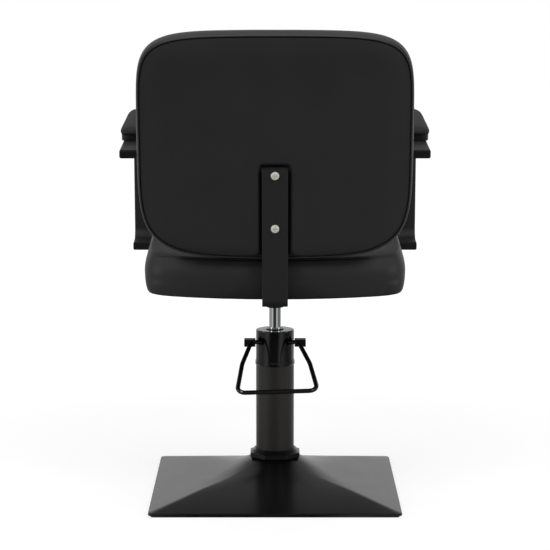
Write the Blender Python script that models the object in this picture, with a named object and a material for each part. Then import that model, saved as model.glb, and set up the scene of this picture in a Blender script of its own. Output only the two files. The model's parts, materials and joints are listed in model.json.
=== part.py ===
"""Hairdressing chair on a hydraulic pump, as separate closed solids in metres with +Z up.

The chair faces -Y, so its rear is at +Y and the sitter's left is at +X.
The origin is on the floor, on the axis of the pump.
"""
import math

import bmesh
import bpy
from mathutils import Matrix, Vector

# Lengths are in metres and angles in degrees.
FIT_GAP = 0.0003        # between pieces that touch
RUN_GAP = 0.0012        # round the pedal shaft where it enters the pump head
EDGE = 0.0008           # cut back on sharp edges
CLEAR = 0.010           # how far cutters reach past the faces they open

# Base
BASE_WIDTH = 0.480
BASE_CORNER = 0.010     # plan radius of the ridges
BASE_PLATE = 0.003
BASE_PLATE_INSET = 0.005
BASE_RIM = 0.0047       # height of the cover's upright edge
BASE_WALL = 0.0025
BASE_SLOPE = 0.24       # rise of the flat facets per metre
BASE_FACET_END = 0.120  # half-width where the facets begin to sweep up
RIDGE_FADE = 0.030      # outside that, where the ridges begin to open out
BASE_TOP_Z = 0.066
NUT_SIDE = 0.0095
NUT_CHAMFER = 0.0065
TUBE_RADIUS = 0.0375
NUT_RADIUS = TUBE_RADIUS + 0.0152      # to the corners of the octagon
NUT_SIDES = 8
NUT_TOP_RADIUS = TUBE_RADIUS + 0.0037
BASE_TOP_RADIUS = TUBE_RADIUS + 0.0095

# Pump
TUBE_WALL = 0.003
TUBE_TOP_Z = 0.2507
HEAD_STEP = 0.0003      # head wider than the tube, all round
HEAD_RADIUS = TUBE_RADIUS + HEAD_STEP
SKIRT_STEP = 0.0016
HEAD_SKIRT_RADIUS = TUBE_RADIUS + SKIRT_STEP
HEAD_HEIGHT = 0.0698    # above the tube
HEAD_TOP_Z = TUBE_TOP_Z + HEAD_HEIGHT
HEAD_WALL = 0.0028
HEAD_ROOF = 0.010
HEAD_SPIGOT = 0.012
HEAD_SKIRT = 0.006      # height of the skirt's straight part, and of its shoulder
HEAD_EDGE = 0.0018      # radius of the top edge
PLUG_THICKNESS = 0.012
RAM_RADIUS = 0.012
RAM_BOTTOM_Z = 0.075
CYLINDER_ROOM = 0.0018  # round the ram
CYLINDER_BORE = RAM_RADIUS + CYLINDER_ROOM
CYLINDER_WALL = 0.0027
CYLINDER_RADIUS = CYLINDER_BORE + CYLINDER_WALL
CYLINDER_RISE = 0.0213  # above the outer tube
CYLINDER_TOP_Z = TUBE_TOP_Z + CYLINDER_RISE
GLAND_HEIGHT = 0.008
PISTON_HEIGHT = 0.020
SEAL_HEIGHT = 0.005
SEAL_DEPTH = 0.0025
WIPER_WIDTH = 0.006
WIPER_RADIUS = RAM_RADIUS + WIPER_WIDTH
WIPER_HEIGHT = 0.003

# Pedal
BARREL_RADIUS = 0.0060
BARREL_SPACE = 0.0017   # between the pump barrel and the inner cylinder
PLUNGER_Y = CYLINDER_RADIUS + BARREL_RADIUS + BARREL_SPACE
PEDAL_LEAD = 0.0022     # shaft axis ahead of the plunger
PEDAL_Y = PLUNGER_Y - PEDAL_LEAD
PEDAL_DROP = 0.0225     # below the top of the head
PEDAL_Z = HEAD_TOP_Z - PEDAL_DROP
SHAFT_RADIUS = 0.0042
CAM_RADIUS = 0.0088
CAM_THROW = 0.003
CAM_WIDTH = 0.010
BLOCK_GAP = 0.0007      # beside the pump head
BLOCK_INNER_X = HEAD_RADIUS + BLOCK_GAP
BLOCK_WIDTH = 0.022
BLOCK_HEIGHT = 0.0140
BLOCK_FRONT = 0.0085    # from the shaft axis to the block's front face
BLOCK_REAR = 0.0150
ROD_RADIUS = 0.0045
ROD_GRIP = 0.0085       # length of rod held in the block
BAIL_START_X = BLOCK_INNER_X + 0.0095
BAIL_KNEE_X = BLOCK_INNER_X + 0.0270
BAIL_CORNER_X = BLOCK_INNER_X + 0.0387
BAIL_REACH = 0.143      # from the shaft axis back to the foot bar
BAIL_DROP = 0.0707
BAIL_KNEE = 0.42        # share of the way to the foot bar
BAIL_SHIFT = -0.0045    # the foot bar sits a little to the right and its left end hangs lower
BAIL_SAG = 0.0023
BAIL_NECK = 0.007       # straight rod behind the block
BAIL_BENDS = (0.010, 0.050, 0.014)  # at the neck, the knee and the foot bar
PLUNGER_RADIUS = 0.0033
PLUNGER_HEAD_RADIUS = 0.0060
PLUNGER_HEAD = 0.006
PLUNGER_LENGTH = 0.120
BARREL_DROP = 0.036     # top of the barrel below the shaft axis
BARREL_TOP_Z = PEDAL_Z - BARREL_DROP
SPRING_WIRE = 0.0007
SPRING_TURNS = 4
TURN_STEPS = 10

# Seat, in its own level frame before it is tilted
SEAT_TILT = 4.3         # front edge up
RAM_SHOWN = 0.044       # chrome between the pump head and the socket at rest
SOCKET_BOTTOM_Z = HEAD_TOP_Z + RAM_SHOWN
SOCKET_HEIGHT = 0.0555  # to the point that the seat tilts about
SEAT_PIVOT_Z = SOCKET_BOTTOM_Z + SOCKET_HEIGHT
SEAT_HALF_WIDTH = 0.248
SEAT_REAR = 0.251
SEAT_FRONT = 0.285
SEAT_POWER = 9.0        # squareness of the outline: 2 is an ellipse
SEAT_REAR_BOW = 0.15    # share of its reach that the rear edge falls back towards the corners
BOARD_RISE = 0.014      # underside above the tilting point
BOARD_BOTTOM_Z = SEAT_PIVOT_Z + BOARD_RISE
BOARD_THICKNESS = 0.024
BOARD_INSET = 0.014
SEAM_RISE = 0.061       # top seam above the board's underside
SEAT_SEAM_Z = BOARD_BOTTOM_Z + SEAM_RISE
SEAT_CROWN = 0.021
PLATE_THICKNESS = 0.006
PLATE_HALF_X = 0.080
PLATE_FRONT_Y = -0.085
PLATE_REAR_Y = 0.060
PLATE_BOLT_EDGE = 0.018
SOCKET_WALL = 0.005     # round the ram, at the socket's lower end
SOCKET_BOTTOM_RADIUS = RAM_RADIUS + SOCKET_WALL
SOCKET_TOP_RADIUS = 0.045
SOCKET_DEPTH = 0.044

# Backrest, in a frame whose second axis climbs its rear face
BACK_RECLINE = 10.2
BACK_SETBACK = 0.020    # rear face at its lower edge, behind the seat
BACK_Y = SEAT_REAR + BACK_SETBACK
BACK_DROP = 0.001       # lower edge below the seat's seam
BACK_Z = SEAT_SEAM_Z - BACK_DROP
BACK_SPREAD = 0.0025    # half-width beyond the seat's
BACK_HALF_WIDTH = SEAT_HALF_WIDTH + BACK_SPREAD
BACK_WAIST = 0.235      # height of the widest line above the lower edge
BACK_HEIGHT = 0.422
BACK_TOP_POWER = 6.2
BACK_BOTTOM_POWER = 5.15
BACK_TOP_BOW = 0.03     # share of its reach that the edge drops towards the corners
BACK_BOTTOM_BOW = 0.05
BACK_THICKNESS = 0.060
BACK_CROWN = 0.012
BACK_SEAM_INSET = 0.0045
PANEL_THICKNESS = 0.012
PANEL_INSET = 0.0058
PANEL_EDGE = 0.003      # how far the panel's rim rolls forward
SCREW_TIP = 0.002       # wood left in front of a screw's tip
BAR_WIDTH = 0.0475
BAR_THICKNESS = 0.010
BAR_BEND = 0.012
BAR_FRONT_Y = 0.070
BAR_TOP = 0.1751        # above the lower edge of the backrest, along its slope
BAR_BOLT_Y = (0.095, 0.165)
BACK_SCREW_DROP = 0.0112
BACK_SCREW_SPACING = 0.100

# Arms, in the seat's level frame
ARM_SPREAD = 0.001      # inner face outside the seat's widest line
ARM_INNER_X = SEAT_HALF_WIDTH + ARM_SPREAD
ARM_WIDTH = 0.044
ARM_DEPTH = 0.0165
ARM_WALL = 0.002
ARM_CORNER = 0.003      # outer edge radius of the tube
ARM_RISE = 0.19435      # middle of the rail above the seat's seam
ARM_RAIL_Z = SEAT_SEAM_Z + ARM_RISE
ARM_FOOT_RISE = 0.0072  # middle of the foot above the board's underside
ARM_FOOT_Z = BOARD_BOTTOM_Z + ARM_FOOT_RISE
ARM_LEAD = 0.0005       # leg ahead of the seat's front edge
ARM_LEG_Y = -SEAT_FRONT - ARM_LEAD
ARM_RAIL_LENGTH = 0.4135
ARM_RAIL_END_Y = ARM_LEG_Y + ARM_RAIL_LENGTH
ARM_FOOT_LENGTH = 0.067
ARM_FOOT_END_Y = ARM_LEG_Y + ARM_FOOT_LENGTH
ARM_BEND = 0.028
CAP_THICKNESS = 0.002
CAP_MARGIN = 0.0012     # tube wall left showing round a plug's face
CAP_GRIP = 0.008
PAD_HALF_LENGTH = 0.1415
PAD_HALF_WIDTH = 0.0295
PAD_SETBACK = 0.169     # middle of the pad behind the leg
PAD_MIDDLE_Y = ARM_LEG_Y + PAD_SETBACK
PAD_HEIGHT = 0.0265
PAD_BASE = 0.011
PAD_BASE_INSET = 0.002
PAD_POWER = 7.0
PAD_SCREW_OFFSET = 0.090
ARM_BOLT_Y = (ARM_LEG_Y + 0.0495, ARM_LEG_Y + 0.0310)
ARM_BOLT_REACH = 0.058  # end of the thread inside the seat's widest line
ARM_BOLT_END_X = SEAT_HALF_WIDTH - ARM_BOLT_REACH
ARM_ACCESS_GAP = 0.0005 # round a bolt head in the hole that lets it into the tube

# Fasteners
M8_RADIUS = 0.004
M8_HEX_RADIUS = 0.0075
M8_HEX_HEIGHT = 0.0053
M8_PAN_RADIUS = 0.0078
M8_PAN_HEIGHT = 0.0048
M6_RADIUS = 0.003
M6_CAP_RADIUS = 0.005
M6_CAP_HEIGHT = 0.006
M6_SOCKET_RADIUS = 0.0027
M6_SOCKET_DEPTH = 0.003
M5_RADIUS = 0.0025
M5_PAN_RADIUS = 0.0046
M5_PAN_HEIGHT = 0.0032
M5_SOCKET_RADIUS = 0.0014
M5_SOCKET_DEPTH = 0.002
BOLT_BITE = 0.010       # length of thread in the board
RECESS_WIDTH = 0.0016
RECESS_DEPTH = 0.0022

# Points round a full turn of each kind of outline
ROUND = 32
INNER_ROUND = 20
SMALL_ROUND = 12
OUTLINE_STEPS = 44
CORNER_CROWDING = 0.55  # 0 spaces an outline's points evenly, near 1 gathers them at its corners
PAD_STEPS = 32
BAIL_SIDES = 10
BEND_STEPS = 5


def clear_scene():
    for piece in list(bpy.data.objects):
        bpy.data.objects.remove(piece)


def material(name, colour, roughness, metallic):
    made = bpy.data.materials.new(name)
    made.use_nodes = True
    shader = made.node_tree.nodes["Principled BSDF"]
    shader.inputs["Base Color"].default_value = (*colour, 1.0)
    shader.inputs["Roughness"].default_value = roughness
    shader.inputs["Metallic"].default_value = metallic
    made.diffuse_color = (*colour, 1.0)
    return made


def make_materials():
    return {
        "powder": material("black powder coat", (0.016, 0.016, 0.017), 0.35, 0.2),
        "gloss": material("black gloss enamel", (0.010, 0.010, 0.011), 0.18, 0.2),
        "vinyl": material("black vinyl", (0.018, 0.018, 0.019), 0.48, 0.0),
        "chrome": material("chrome plate", (0.62, 0.63, 0.65), 0.10, 1.0),
        "zinc": material("zinc plate", (0.55, 0.55, 0.54), 0.28, 1.0),
        "steel": material("plain steel", (0.36, 0.36, 0.37), 0.38, 1.0),
        "bronze": material("gland bronze", (0.48, 0.30, 0.12), 0.35, 1.0),
        "plastic": material("black plastic", (0.014, 0.014, 0.014), 0.55, 0.0),
        "rubber": material("black rubber", (0.012, 0.012, 0.012), 0.80, 0.0),
        "wood": material("birch plywood", (0.52, 0.36, 0.20), 0.65, 0.0),
    }


# Shapes are pairs: a list of points and a list of faces.

def loft(rings, loop=False):
    """Skin rings of equal length; the ends are capped unless the rings form a loop."""
    count = len(rings[0])
    points = [point for ring in rings for point in ring]
    faces = []
    spans = len(rings) if loop else len(rings) - 1
    for i in range(spans):
        here = i * count
        there = (i + 1) % len(rings) * count
        for j in range(count):
            k = (j + 1) % count
            faces.append((here + j, here + k, there + k, there + j))
    if not loop:
        faces.append(tuple(reversed(range(count))))
        faces.append(tuple(range(len(points) - count, len(points))))
    return points, faces


def moved(shape, matrix):
    return [matrix @ point for point in shape[0]], shape[1]


def merged(shapes):
    points = []
    faces = []
    for shape in shapes:
        start = len(points)
        points.extend(shape[0])
        faces.extend(tuple(start + i for i in face) for face in shape[1])
    return points, faces


def circle(radius, z, count=ROUND):
    step = 2.0 * math.pi / count
    return [Vector((radius * math.cos(step * i), radius * math.sin(step * i), z)) for i in range(count)]


def polygon_ring(corner_radius, z, sides, count):
    """A regular polygon drawn with count points, with a corner on the x axis."""
    half = math.pi / sides
    ring = []
    for i in range(count):
        angle = 2.0 * math.pi * i / count
        off = (angle % (2.0 * half)) - half
        radius = corner_radius * math.cos(half) / math.cos(off)
        ring.append(Vector((radius * math.cos(angle), radius * math.sin(angle), z)))
    return ring


def revolve(profile, count=ROUND, loop=True):
    return loft([circle(radius, z, count) for radius, z in profile], loop)


def rod(radius, start, end, count=SMALL_ROUND):
    """A plain round bar between two points."""
    start = Vector(start)
    along = Vector(end) - start
    turn = Vector((0.0, 0.0, 1.0)).rotation_difference(along).to_matrix().to_4x4()
    bar = loft([circle(radius, 0.0, count), circle(radius, along.length, count)])
    return moved(bar, Matrix.Translation(start) @ turn)


def chamfered_box(low, high, edge):
    """A box whose edges are all cut back by the same amount."""
    rings = []
    for z, inset in ((low[2], edge), (low[2] + edge, 0.0), (high[2] - edge, 0.0), (high[2], edge)):
        x0, x1 = low[0] + inset, high[0] - inset
        y0, y1 = low[1] + inset, high[1] - inset
        rings.append([Vector((x, y, z)) for x, y in (
            (x0 + edge, y0), (x1 - edge, y0), (x1, y0 + edge), (x1, y1 - edge),
            (x1 - edge, y1), (x0 + edge, y1), (x0, y1 - edge), (x0, y0 + edge))])
    return loft(rings)


def superellipse(half_x, reaches, powers, bows=(0.0, 0.0), count=OUTLINE_STEPS):
    """An outline with its own reach, squareness and bowed edge above and below its widest line.

    Its points stand closer together round the four corners than along the sides.
    """
    outline = []
    for i in range(count):
        turn = 2.0 * math.pi * i / count
        turn += CORNER_CROWDING * math.sin(4.0 * turn) / 4.0
        c, s = math.cos(turn), math.sin(turn)
        half = 0 if s >= 0.0 else 1
        power = powers[half]
        radius = (abs(c) ** power + abs(s) ** power) ** (-1.0 / power)
        x, y = radius * c, radius * s
        outline.append((half_x * x, reaches[half] * y * (1.0 - bows[half] * x * x)))
    return outline


def rounded_rectangle(half_a, half_b, radius, steps=2):
    outline = []
    for quarter in range(4):
        centre_a = (half_a - radius) * (1.0 if quarter in (0, 3) else -1.0)
        centre_b = (half_b - radius) * (1.0 if quarter in (0, 1) else -1.0)
        for i in range(steps + 1):
            angle = math.radians(90.0 * quarter + 90.0 * i / steps)
            outline.append((centre_a + radius * math.cos(angle), centre_b + radius * math.sin(angle)))
    return outline


def rounded_path(points, radii, steps):
    """A polyline whose inner corners are replaced by arcs of the given radii."""
    path = [Vector(points[0])]
    for i in range(1, len(points) - 1):
        corner = Vector(points[i])
        back = (Vector(points[i - 1]) - corner).normalized()
        ahead = (Vector(points[i + 1]) - corner).normalized()
        half = back.angle(ahead) / 2.0
        radius = radii[i - 1]
        centre = corner + (back + ahead).normalized() * (radius / math.sin(half))
        first = corner + back * (radius / math.tan(half)) - centre
        last = corner + ahead * (radius / math.tan(half)) - centre
        sweep = first.angle(last)
        for j in range(steps + 1):
            share = j / steps
            a = math.sin((1.0 - share) * sweep) / math.sin(sweep)
            b = math.sin(share * sweep) / math.sin(sweep)
            path.append(centre + first * a + last * b)
    path.append(Vector(points[-1]))
    return path


def path_directions(path):
    """The direction of a path at each of its points."""
    directions = []
    for i in range(len(path)):
        before = path[max(i - 1, 0)]
        after = path[min(i + 1, len(path) - 1)]
        directions.append((after - before).normalized())
    return directions


def plane_sweep(path, section, normal):
    """Rings of a section, given across and within the plane, carried along a plane path."""
    rings = []
    for point, direction in zip(path, path_directions(path)):
        side = normal.cross(direction)
        rings.append([point + normal * a + side * b for a, b in section])
    return rings


def round_sweep(path, radius, count):
    """A round bar along any path; the rings turn with the path and don't twist."""
    directions = path_directions(path)
    normal = directions[0].orthogonal().normalized()
    rings = []
    for i, point in enumerate(path):
        if i:
            normal = directions[i - 1].rotation_difference(directions[i]) @ normal
        side = directions[i].cross(normal)
        ring = []
        for j in range(count):
            angle = 2.0 * math.pi * j / count
            ring.append(point + (normal * math.cos(angle) + side * math.sin(angle)) * radius)
        rings.append(ring)
    return loft(rings)


def add_object(name, shape, pivot):
    mesh = bpy.data.meshes.new(name)
    mesh.from_pydata([point - pivot for point in shape[0]], [], shape[1])
    work = bmesh.new()
    work.from_mesh(mesh)
    bmesh.ops.recalc_face_normals(work, faces=work.faces)
    work.to_mesh(mesh)
    work.free()
    made = bpy.data.objects.new(name, mesh)
    made.location = pivot
    bpy.context.collection.objects.link(made)
    return made


def add_piece(name, shape, finish, pivot=(0.0, 0.0, 0.0), cuts=()):
    """Add one named solid with its origin at the pivot, less the closed shapes in cuts."""
    piece = add_object(name, shape, Vector(pivot))
    piece.data.materials.append(finish)
    if cuts:
        cut(piece, cuts)
    return piece


def cut(piece, tools):
    cutter = add_object("cutter", merged(tools), Vector((0.0, 0.0, 0.0)))
    cutter.hide_render = True
    cutter.display_type = "WIRE"
    step = piece.modifiers.new("cut", "BOOLEAN")
    step.operation = "DIFFERENCE"
    step.solver = "EXACT"
    step.object = cutter
    bpy.context.view_layer.update()
    graph = bpy.context.evaluated_depsgraph_get()
    result = bpy.data.meshes.new_from_object(piece.evaluated_get(graph))
    piece.modifiers.clear()
    piece.data = result
    bpy.data.objects.remove(cutter)


# Frames and levels that several pieces share

def seat_frame_matrix():
    """From the seat's level frame to the chair: tilted so that the front edge is up."""
    pivot = Matrix.Translation((0.0, 0.0, SEAT_PIVOT_Z))
    return pivot @ Matrix.Rotation(math.radians(-SEAT_TILT), 4, "X") @ pivot.inverted()


def back_frame_matrix():
    """From the backrest's frame (across, up its slope, forward) to the chair."""
    lean = math.radians(BACK_RECLINE)
    up = Vector((0.0, math.sin(lean), math.cos(lean)))
    forward = Vector((0.0, -math.cos(lean), math.sin(lean)))
    matrix = Matrix((Vector((1.0, 0.0, 0.0)), up, forward)).transposed().to_4x4()
    return Matrix.Translation((0.0, BACK_Y, BACK_Z)) @ matrix


def pedal_axis():
    return Vector((0.0, PEDAL_Y, PEDAL_Z))


# Base

def base_angles():
    """Plan directions that put points on the straight sides and close together round each ridge."""
    half = BASE_WIDTH / 2.0
    start = math.degrees(math.atan((half - BASE_CORNER) / half))
    rest = 45.0 - start
    eighth = [0.0, 13.0, 26.0, 37.0, start, start + 0.55 * rest]
    angles = []
    for quarter in range(4):
        angles.extend(90.0 * quarter + a for a in eighth)
        angles.append(90.0 * quarter + 45.0)
        angles.extend(90.0 * quarter + 90.0 - a for a in reversed(eighth[1:]))
    return [math.radians(a) for a in angles]


def rounded_square_ring(half, corner, z):
    ring = []
    centre = half - corner
    for angle in base_angles():
        c, s = abs(math.cos(angle)), abs(math.sin(angle))
        reach = half / max(c, s)
        if reach * min(c, s) > centre:
            along = centre * (c + s)
            reach = along + math.sqrt(max(along * along - 2.0 * centre * centre + corner * corner, 0.0))
        ring.append(Vector((reach * math.cos(angle), reach * math.sin(angle), z)))
    return ring


def cover_height(half):
    """Height of the cover's outside where its plan half-width is half: facets, then a sweep up."""
    rim_top = BASE_PLATE + FIT_GAP + BASE_RIM
    flat = rim_top + BASE_SLOPE * (BASE_WIDTH / 2.0 - half)
    run = BASE_FACET_END - BASE_TOP_RADIUS
    end = rim_top + BASE_SLOPE * (BASE_WIDTH / 2.0 - BASE_TOP_RADIUS)
    over = max(BASE_FACET_END - half, 0.0)
    return flat + (BASE_TOP_Z - end) * (over / run) ** 2


def cover_corner(half):
    """Plan radius of the ridge, which opens out until the top is round."""
    first, last = BASE_FACET_END + RIDGE_FADE, BASE_TOP_RADIUS
    share = min(max((first - half) / (first - last), 0.0), 1.0)
    share = share * share * (3.0 - 2.0 * share)
    return BASE_CORNER + (half - BASE_CORNER) * share


def cover_stations(shares):
    """Plan half-widths at the given shares of the way in from the rim to the top."""
    half = BASE_WIDTH / 2.0
    return [half + (BASE_TOP_RADIUS - half) * share for share in shares]


def build_base(finish):
    half = BASE_WIDTH / 2.0
    bottom = BASE_PLATE + FIT_GAP
    hole = TUBE_RADIUS + FIT_GAP
    outside = [rounded_square_ring(half, BASE_CORNER, bottom)]
    outside.append(rounded_square_ring(half, BASE_CORNER, bottom + BASE_RIM - EDGE))
    for at in cover_stations((0.004, 0.31, 0.49, 0.62, 0.71, 0.79, 0.87, 0.94, 1.0)):
        outside.append(rounded_square_ring(at, cover_corner(at), cover_height(at)))
    inside = [rounded_square_ring(hole, hole, z) for z in (BASE_TOP_Z, BASE_TOP_Z - BASE_WALL)]
    for at in cover_stations((0.99, 0.94, 0.83, 0.71, 0.49)) + [half - BASE_WALL - EDGE]:
        inside.append(rounded_square_ring(at, min(cover_corner(at), at), cover_height(at) - 1.25 * BASE_WALL))
    inside.append(rounded_square_ring(half - BASE_WALL, BASE_CORNER - BASE_WALL, bottom))
    add_piece("base_cover", loft(outside + inside, True), finish["powder"])

    flat = half - BASE_PLATE_INSET
    plate = [rounded_square_ring(flat, BASE_CORNER - BASE_PLATE_INSET, z) for z in (0.0, BASE_PLATE)]
    add_piece("base_plate", loft(plate), finish["powder"])

    low = BASE_TOP_Z + FIT_GAP
    high = low + NUT_SIDE
    top = high + NUT_CHAMFER
    nut = [circle(hole, low)]
    for radius, z in ((NUT_RADIUS - EDGE, low), (NUT_RADIUS, low + EDGE), (NUT_RADIUS, high - EDGE),
                      (NUT_RADIUS - EDGE, high)):
        nut.append(polygon_ring(radius, z, NUT_SIDES, ROUND))
    cone = NUT_RADIUS * math.cos(math.pi / NUT_SIDES) - 2.0 * EDGE
    nut += [circle(cone, high), circle(NUT_TOP_RADIUS, top), circle(hole, top)]
    flat_to_rear = Matrix.Rotation(math.pi / NUT_SIDES, 4, "Z")
    add_piece("base_lock_nut", moved(loft(nut, True), flat_to_rear), finish["powder"])


# Pump

def build_pump(finish):
    floor = BASE_PLATE + FIT_GAP
    bore = TUBE_RADIUS - TUBE_WALL
    tube = [(bore, floor), (TUBE_RADIUS, floor), (TUBE_RADIUS, TUBE_TOP_Z), (bore, TUBE_TOP_Z)]
    add_piece("pump_outer_tube", revolve(tube), finish["powder"])

    plug_top = floor + PLUG_THICKNESS
    plug = revolve([(bore - FIT_GAP, floor), (bore - FIT_GAP, plug_top)], ROUND, False)
    add_piece("pump_bottom_plug", plug, finish["steel"])

    low = plug_top + FIT_GAP
    lining = [(CYLINDER_BORE, low), (CYLINDER_RADIUS, low)]
    lining += [(CYLINDER_RADIUS, CYLINDER_TOP_Z), (CYLINDER_BORE, CYLINDER_TOP_Z)]
    add_piece("pump_inner_cylinder", revolve(lining, INNER_ROUND), finish["steel"])

    slide = RAM_RADIUS + FIT_GAP
    low = CYLINDER_TOP_Z + FIT_GAP
    gland = [(slide, low), (CYLINDER_RADIUS, low)]
    gland += [(CYLINDER_RADIUS, low + GLAND_HEIGHT), (slide, low + GLAND_HEIGHT)]
    add_piece("cylinder_gland", revolve(gland, INNER_ROUND), finish["bronze"])
    build_pump_head(finish)


def build_pump_head(finish):
    low = TUBE_TOP_Z + FIT_GAP
    spigot = TUBE_RADIUS - TUBE_WALL - FIT_GAP
    cavity = HEAD_RADIUS - HEAD_WALL
    roof = HEAD_TOP_Z - HEAD_ROOF
    seat = WIPER_RADIUS + FIT_GAP
    seat_z = HEAD_TOP_Z - WIPER_HEIGHT / 2.0
    hole = RAM_RADIUS + 2.0 * FIT_GAP
    profile = [(spigot - TUBE_WALL, low - HEAD_SPIGOT), (spigot, low - HEAD_SPIGOT), (spigot, low)]
    profile += [(HEAD_SKIRT_RADIUS - EDGE, low), (HEAD_SKIRT_RADIUS, low + EDGE)]
    profile += [(HEAD_SKIRT_RADIUS, low + HEAD_SKIRT), (HEAD_RADIUS, low + 2.0 * HEAD_SKIRT)]
    for across, down in ((0.0, 1.0), (0.3, 0.3), (1.0, 0.0)):
        profile.append((HEAD_RADIUS - across * HEAD_EDGE, HEAD_TOP_Z - down * HEAD_EDGE))
    profile += [(seat, HEAD_TOP_Z), (seat, seat_z), (hole, seat_z)]
    profile += [(hole, roof), (cavity, roof), (cavity, low + HEAD_WALL), (spigot - TUBE_WALL, low)]
    reach = HEAD_SKIRT_RADIUS + CLEAR
    bore = rod(SHAFT_RADIUS + RUN_GAP, (-reach, PEDAL_Y, PEDAL_Z), (reach, PEDAL_Y, PEDAL_Z), INNER_ROUND)
    add_piece("pump_head", revolve(profile), finish["gloss"], cuts=[bore])

    slide = RAM_RADIUS + FIT_GAP
    low = seat_z + FIT_GAP
    high = low + WIPER_HEIGHT
    wiper = [(slide, low), (WIPER_RADIUS, low), (WIPER_RADIUS, high - WIPER_HEIGHT / 2.0)]
    wiper += [(WIPER_RADIUS - WIPER_HEIGHT / 2.0, high), (slide, high)]
    add_piece("rod_wiper", revolve(wiper, ROUND), finish["rubber"])


def build_plunger(finish):
    place = Matrix.Translation((0.0, PLUNGER_Y, 0.0))
    low = BASE_PLATE + 2.0 * FIT_GAP + PLUG_THICKNESS
    bore = PLUNGER_RADIUS + FIT_GAP
    barrel = [(bore, low), (BARREL_RADIUS, low), (BARREL_RADIUS, BARREL_TOP_Z), (bore, BARREL_TOP_Z)]
    add_piece("pump_barrel", moved(revolve(barrel, SMALL_ROUND), place), finish["steel"])

    top = PEDAL_Z - CAM_RADIUS - FIT_GAP
    under = top - PLUNGER_HEAD
    plunger = [(PLUNGER_RADIUS, top - PLUNGER_LENGTH), (PLUNGER_RADIUS, under), (PLUNGER_HEAD_RADIUS, under)]
    plunger += [(PLUNGER_HEAD_RADIUS, top - EDGE), (PLUNGER_HEAD_RADIUS - EDGE, top)]
    pivot = (0.0, PLUNGER_Y, top)
    add_piece("pump_plunger", moved(revolve(plunger, SMALL_ROUND, False), place), finish["steel"], pivot)

    low = BARREL_TOP_Z + FIT_GAP + SPRING_WIRE
    high = under - FIT_GAP - SPRING_WIRE
    radius = PLUNGER_HEAD_RADIUS - SPRING_WIRE
    steps = TURN_STEPS * SPRING_TURNS
    coil = []
    for i in range(steps + 1):
        angle = 2.0 * math.pi * i / TURN_STEPS
        height = low + (high - low) * i / steps
        coil.append(Vector((radius * math.cos(angle), PLUNGER_Y + radius * math.sin(angle), height)))
    add_piece("plunger_spring", round_sweep(coil, SPRING_WIRE, 5), finish["steel"])


def build_ram(finish):
    pivot = (0.0, 0.0, RAM_BOTTOM_Z)
    top = SOCKET_BOTTOM_Z + SOCKET_DEPTH - FIT_GAP
    bar = [(RAM_RADIUS - EDGE, RAM_BOTTOM_Z), (RAM_RADIUS, RAM_BOTTOM_Z + EDGE)]
    bar += [(RAM_RADIUS, top - EDGE), (RAM_RADIUS - EDGE, top)]
    add_piece("ram_rod", revolve(bar, ROUND, False), finish["chrome"], pivot)

    high = RAM_BOTTOM_Z - FIT_GAP
    low = high - PISTON_HEIGHT
    skirt = CYLINDER_BORE - FIT_GAP
    middle = (low + high) / 2.0
    groove = (middle - SEAL_HEIGHT / 2.0, middle + SEAL_HEIGHT / 2.0)
    depth = skirt - SEAL_DEPTH
    piston = [(skirt - EDGE, low), (skirt, low + EDGE), (skirt, groove[0]), (depth, groove[0])]
    piston += [(depth, groove[1]), (skirt, groove[1]), (skirt, high - EDGE), (skirt - EDGE, high)]
    add_piece("ram_piston", revolve(piston, INNER_ROUND, False), finish["steel"], pivot)
    ring = [(depth + FIT_GAP, groove[0] + FIT_GAP), (skirt, groove[0] + FIT_GAP)]
    ring += [(skirt, groove[1] - FIT_GAP), (depth + FIT_GAP, groove[1] - FIT_GAP)]
    add_piece("ram_seal_ring", revolve(ring, INNER_ROUND), finish["rubber"], pivot)


# Pedal

def bail_path():
    axis = pedal_axis()
    start_y = BLOCK_REAR - ROD_GRIP + FIT_GAP
    bend_y = BLOCK_REAR + BAIL_NECK
    knee_y = bend_y + (BAIL_REACH - bend_y) * BAIL_KNEE
    half = [(BAIL_START_X, start_y, 0.0), (BAIL_START_X, bend_y, 0.0)]
    half += [(BAIL_KNEE_X, knee_y, -BAIL_DROP * BAIL_KNEE), (BAIL_CORNER_X, BAIL_REACH, -BAIL_DROP)]
    shifts = (0.0, 0.0, BAIL_KNEE, 1.0)
    points = []
    for sign, order in ((1.0, (0, 1, 2, 3)), (-1.0, (3, 2, 1, 0))):
        for i in order:
            x, y, z = half[i]
            bent = Vector((sign * x + shifts[i] * BAIL_SHIFT, y, z - sign * shifts[i] * BAIL_SAG))
            points.append(axis + bent)
    return rounded_path(points, BAIL_BENDS + BAIL_BENDS[::-1], BEND_STEPS)


def build_pedal(finish):
    axis = pedal_axis()
    outer = BLOCK_INNER_X + BLOCK_WIDTH
    reach = outer - FIT_GAP
    shaft = rod(SHAFT_RADIUS, axis - Vector((reach, 0, 0)), axis + Vector((reach, 0, 0)), INNER_ROUND)
    add_piece("pedal_shaft", shaft, finish["gloss"], axis)
    build_cam(finish)
    add_piece("pedal_bail", round_sweep(bail_path(), ROD_RADIUS, BAIL_SIDES), finish["gloss"], axis)
    for side, sign in (("left", 1.0), ("right", -1.0)):
        build_pedal_block(side, sign, finish)


def build_cam(finish):
    axis = pedal_axis()
    rings = []
    half = CAM_WIDTH / 2.0
    inner = SHAFT_RADIUS + FIT_GAP
    for x, radius, throw in ((-half, CAM_RADIUS, CAM_THROW), (half, CAM_RADIUS, CAM_THROW),
                             (half, inner, 0.0), (-half, inner, 0.0)):
        rings.append([axis + Vector((x, throw + p.x, p.y)) for p in circle(radius, 0.0, INNER_ROUND)])
    add_piece("pedal_cam", loft(rings, True), finish["steel"], axis)


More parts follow.
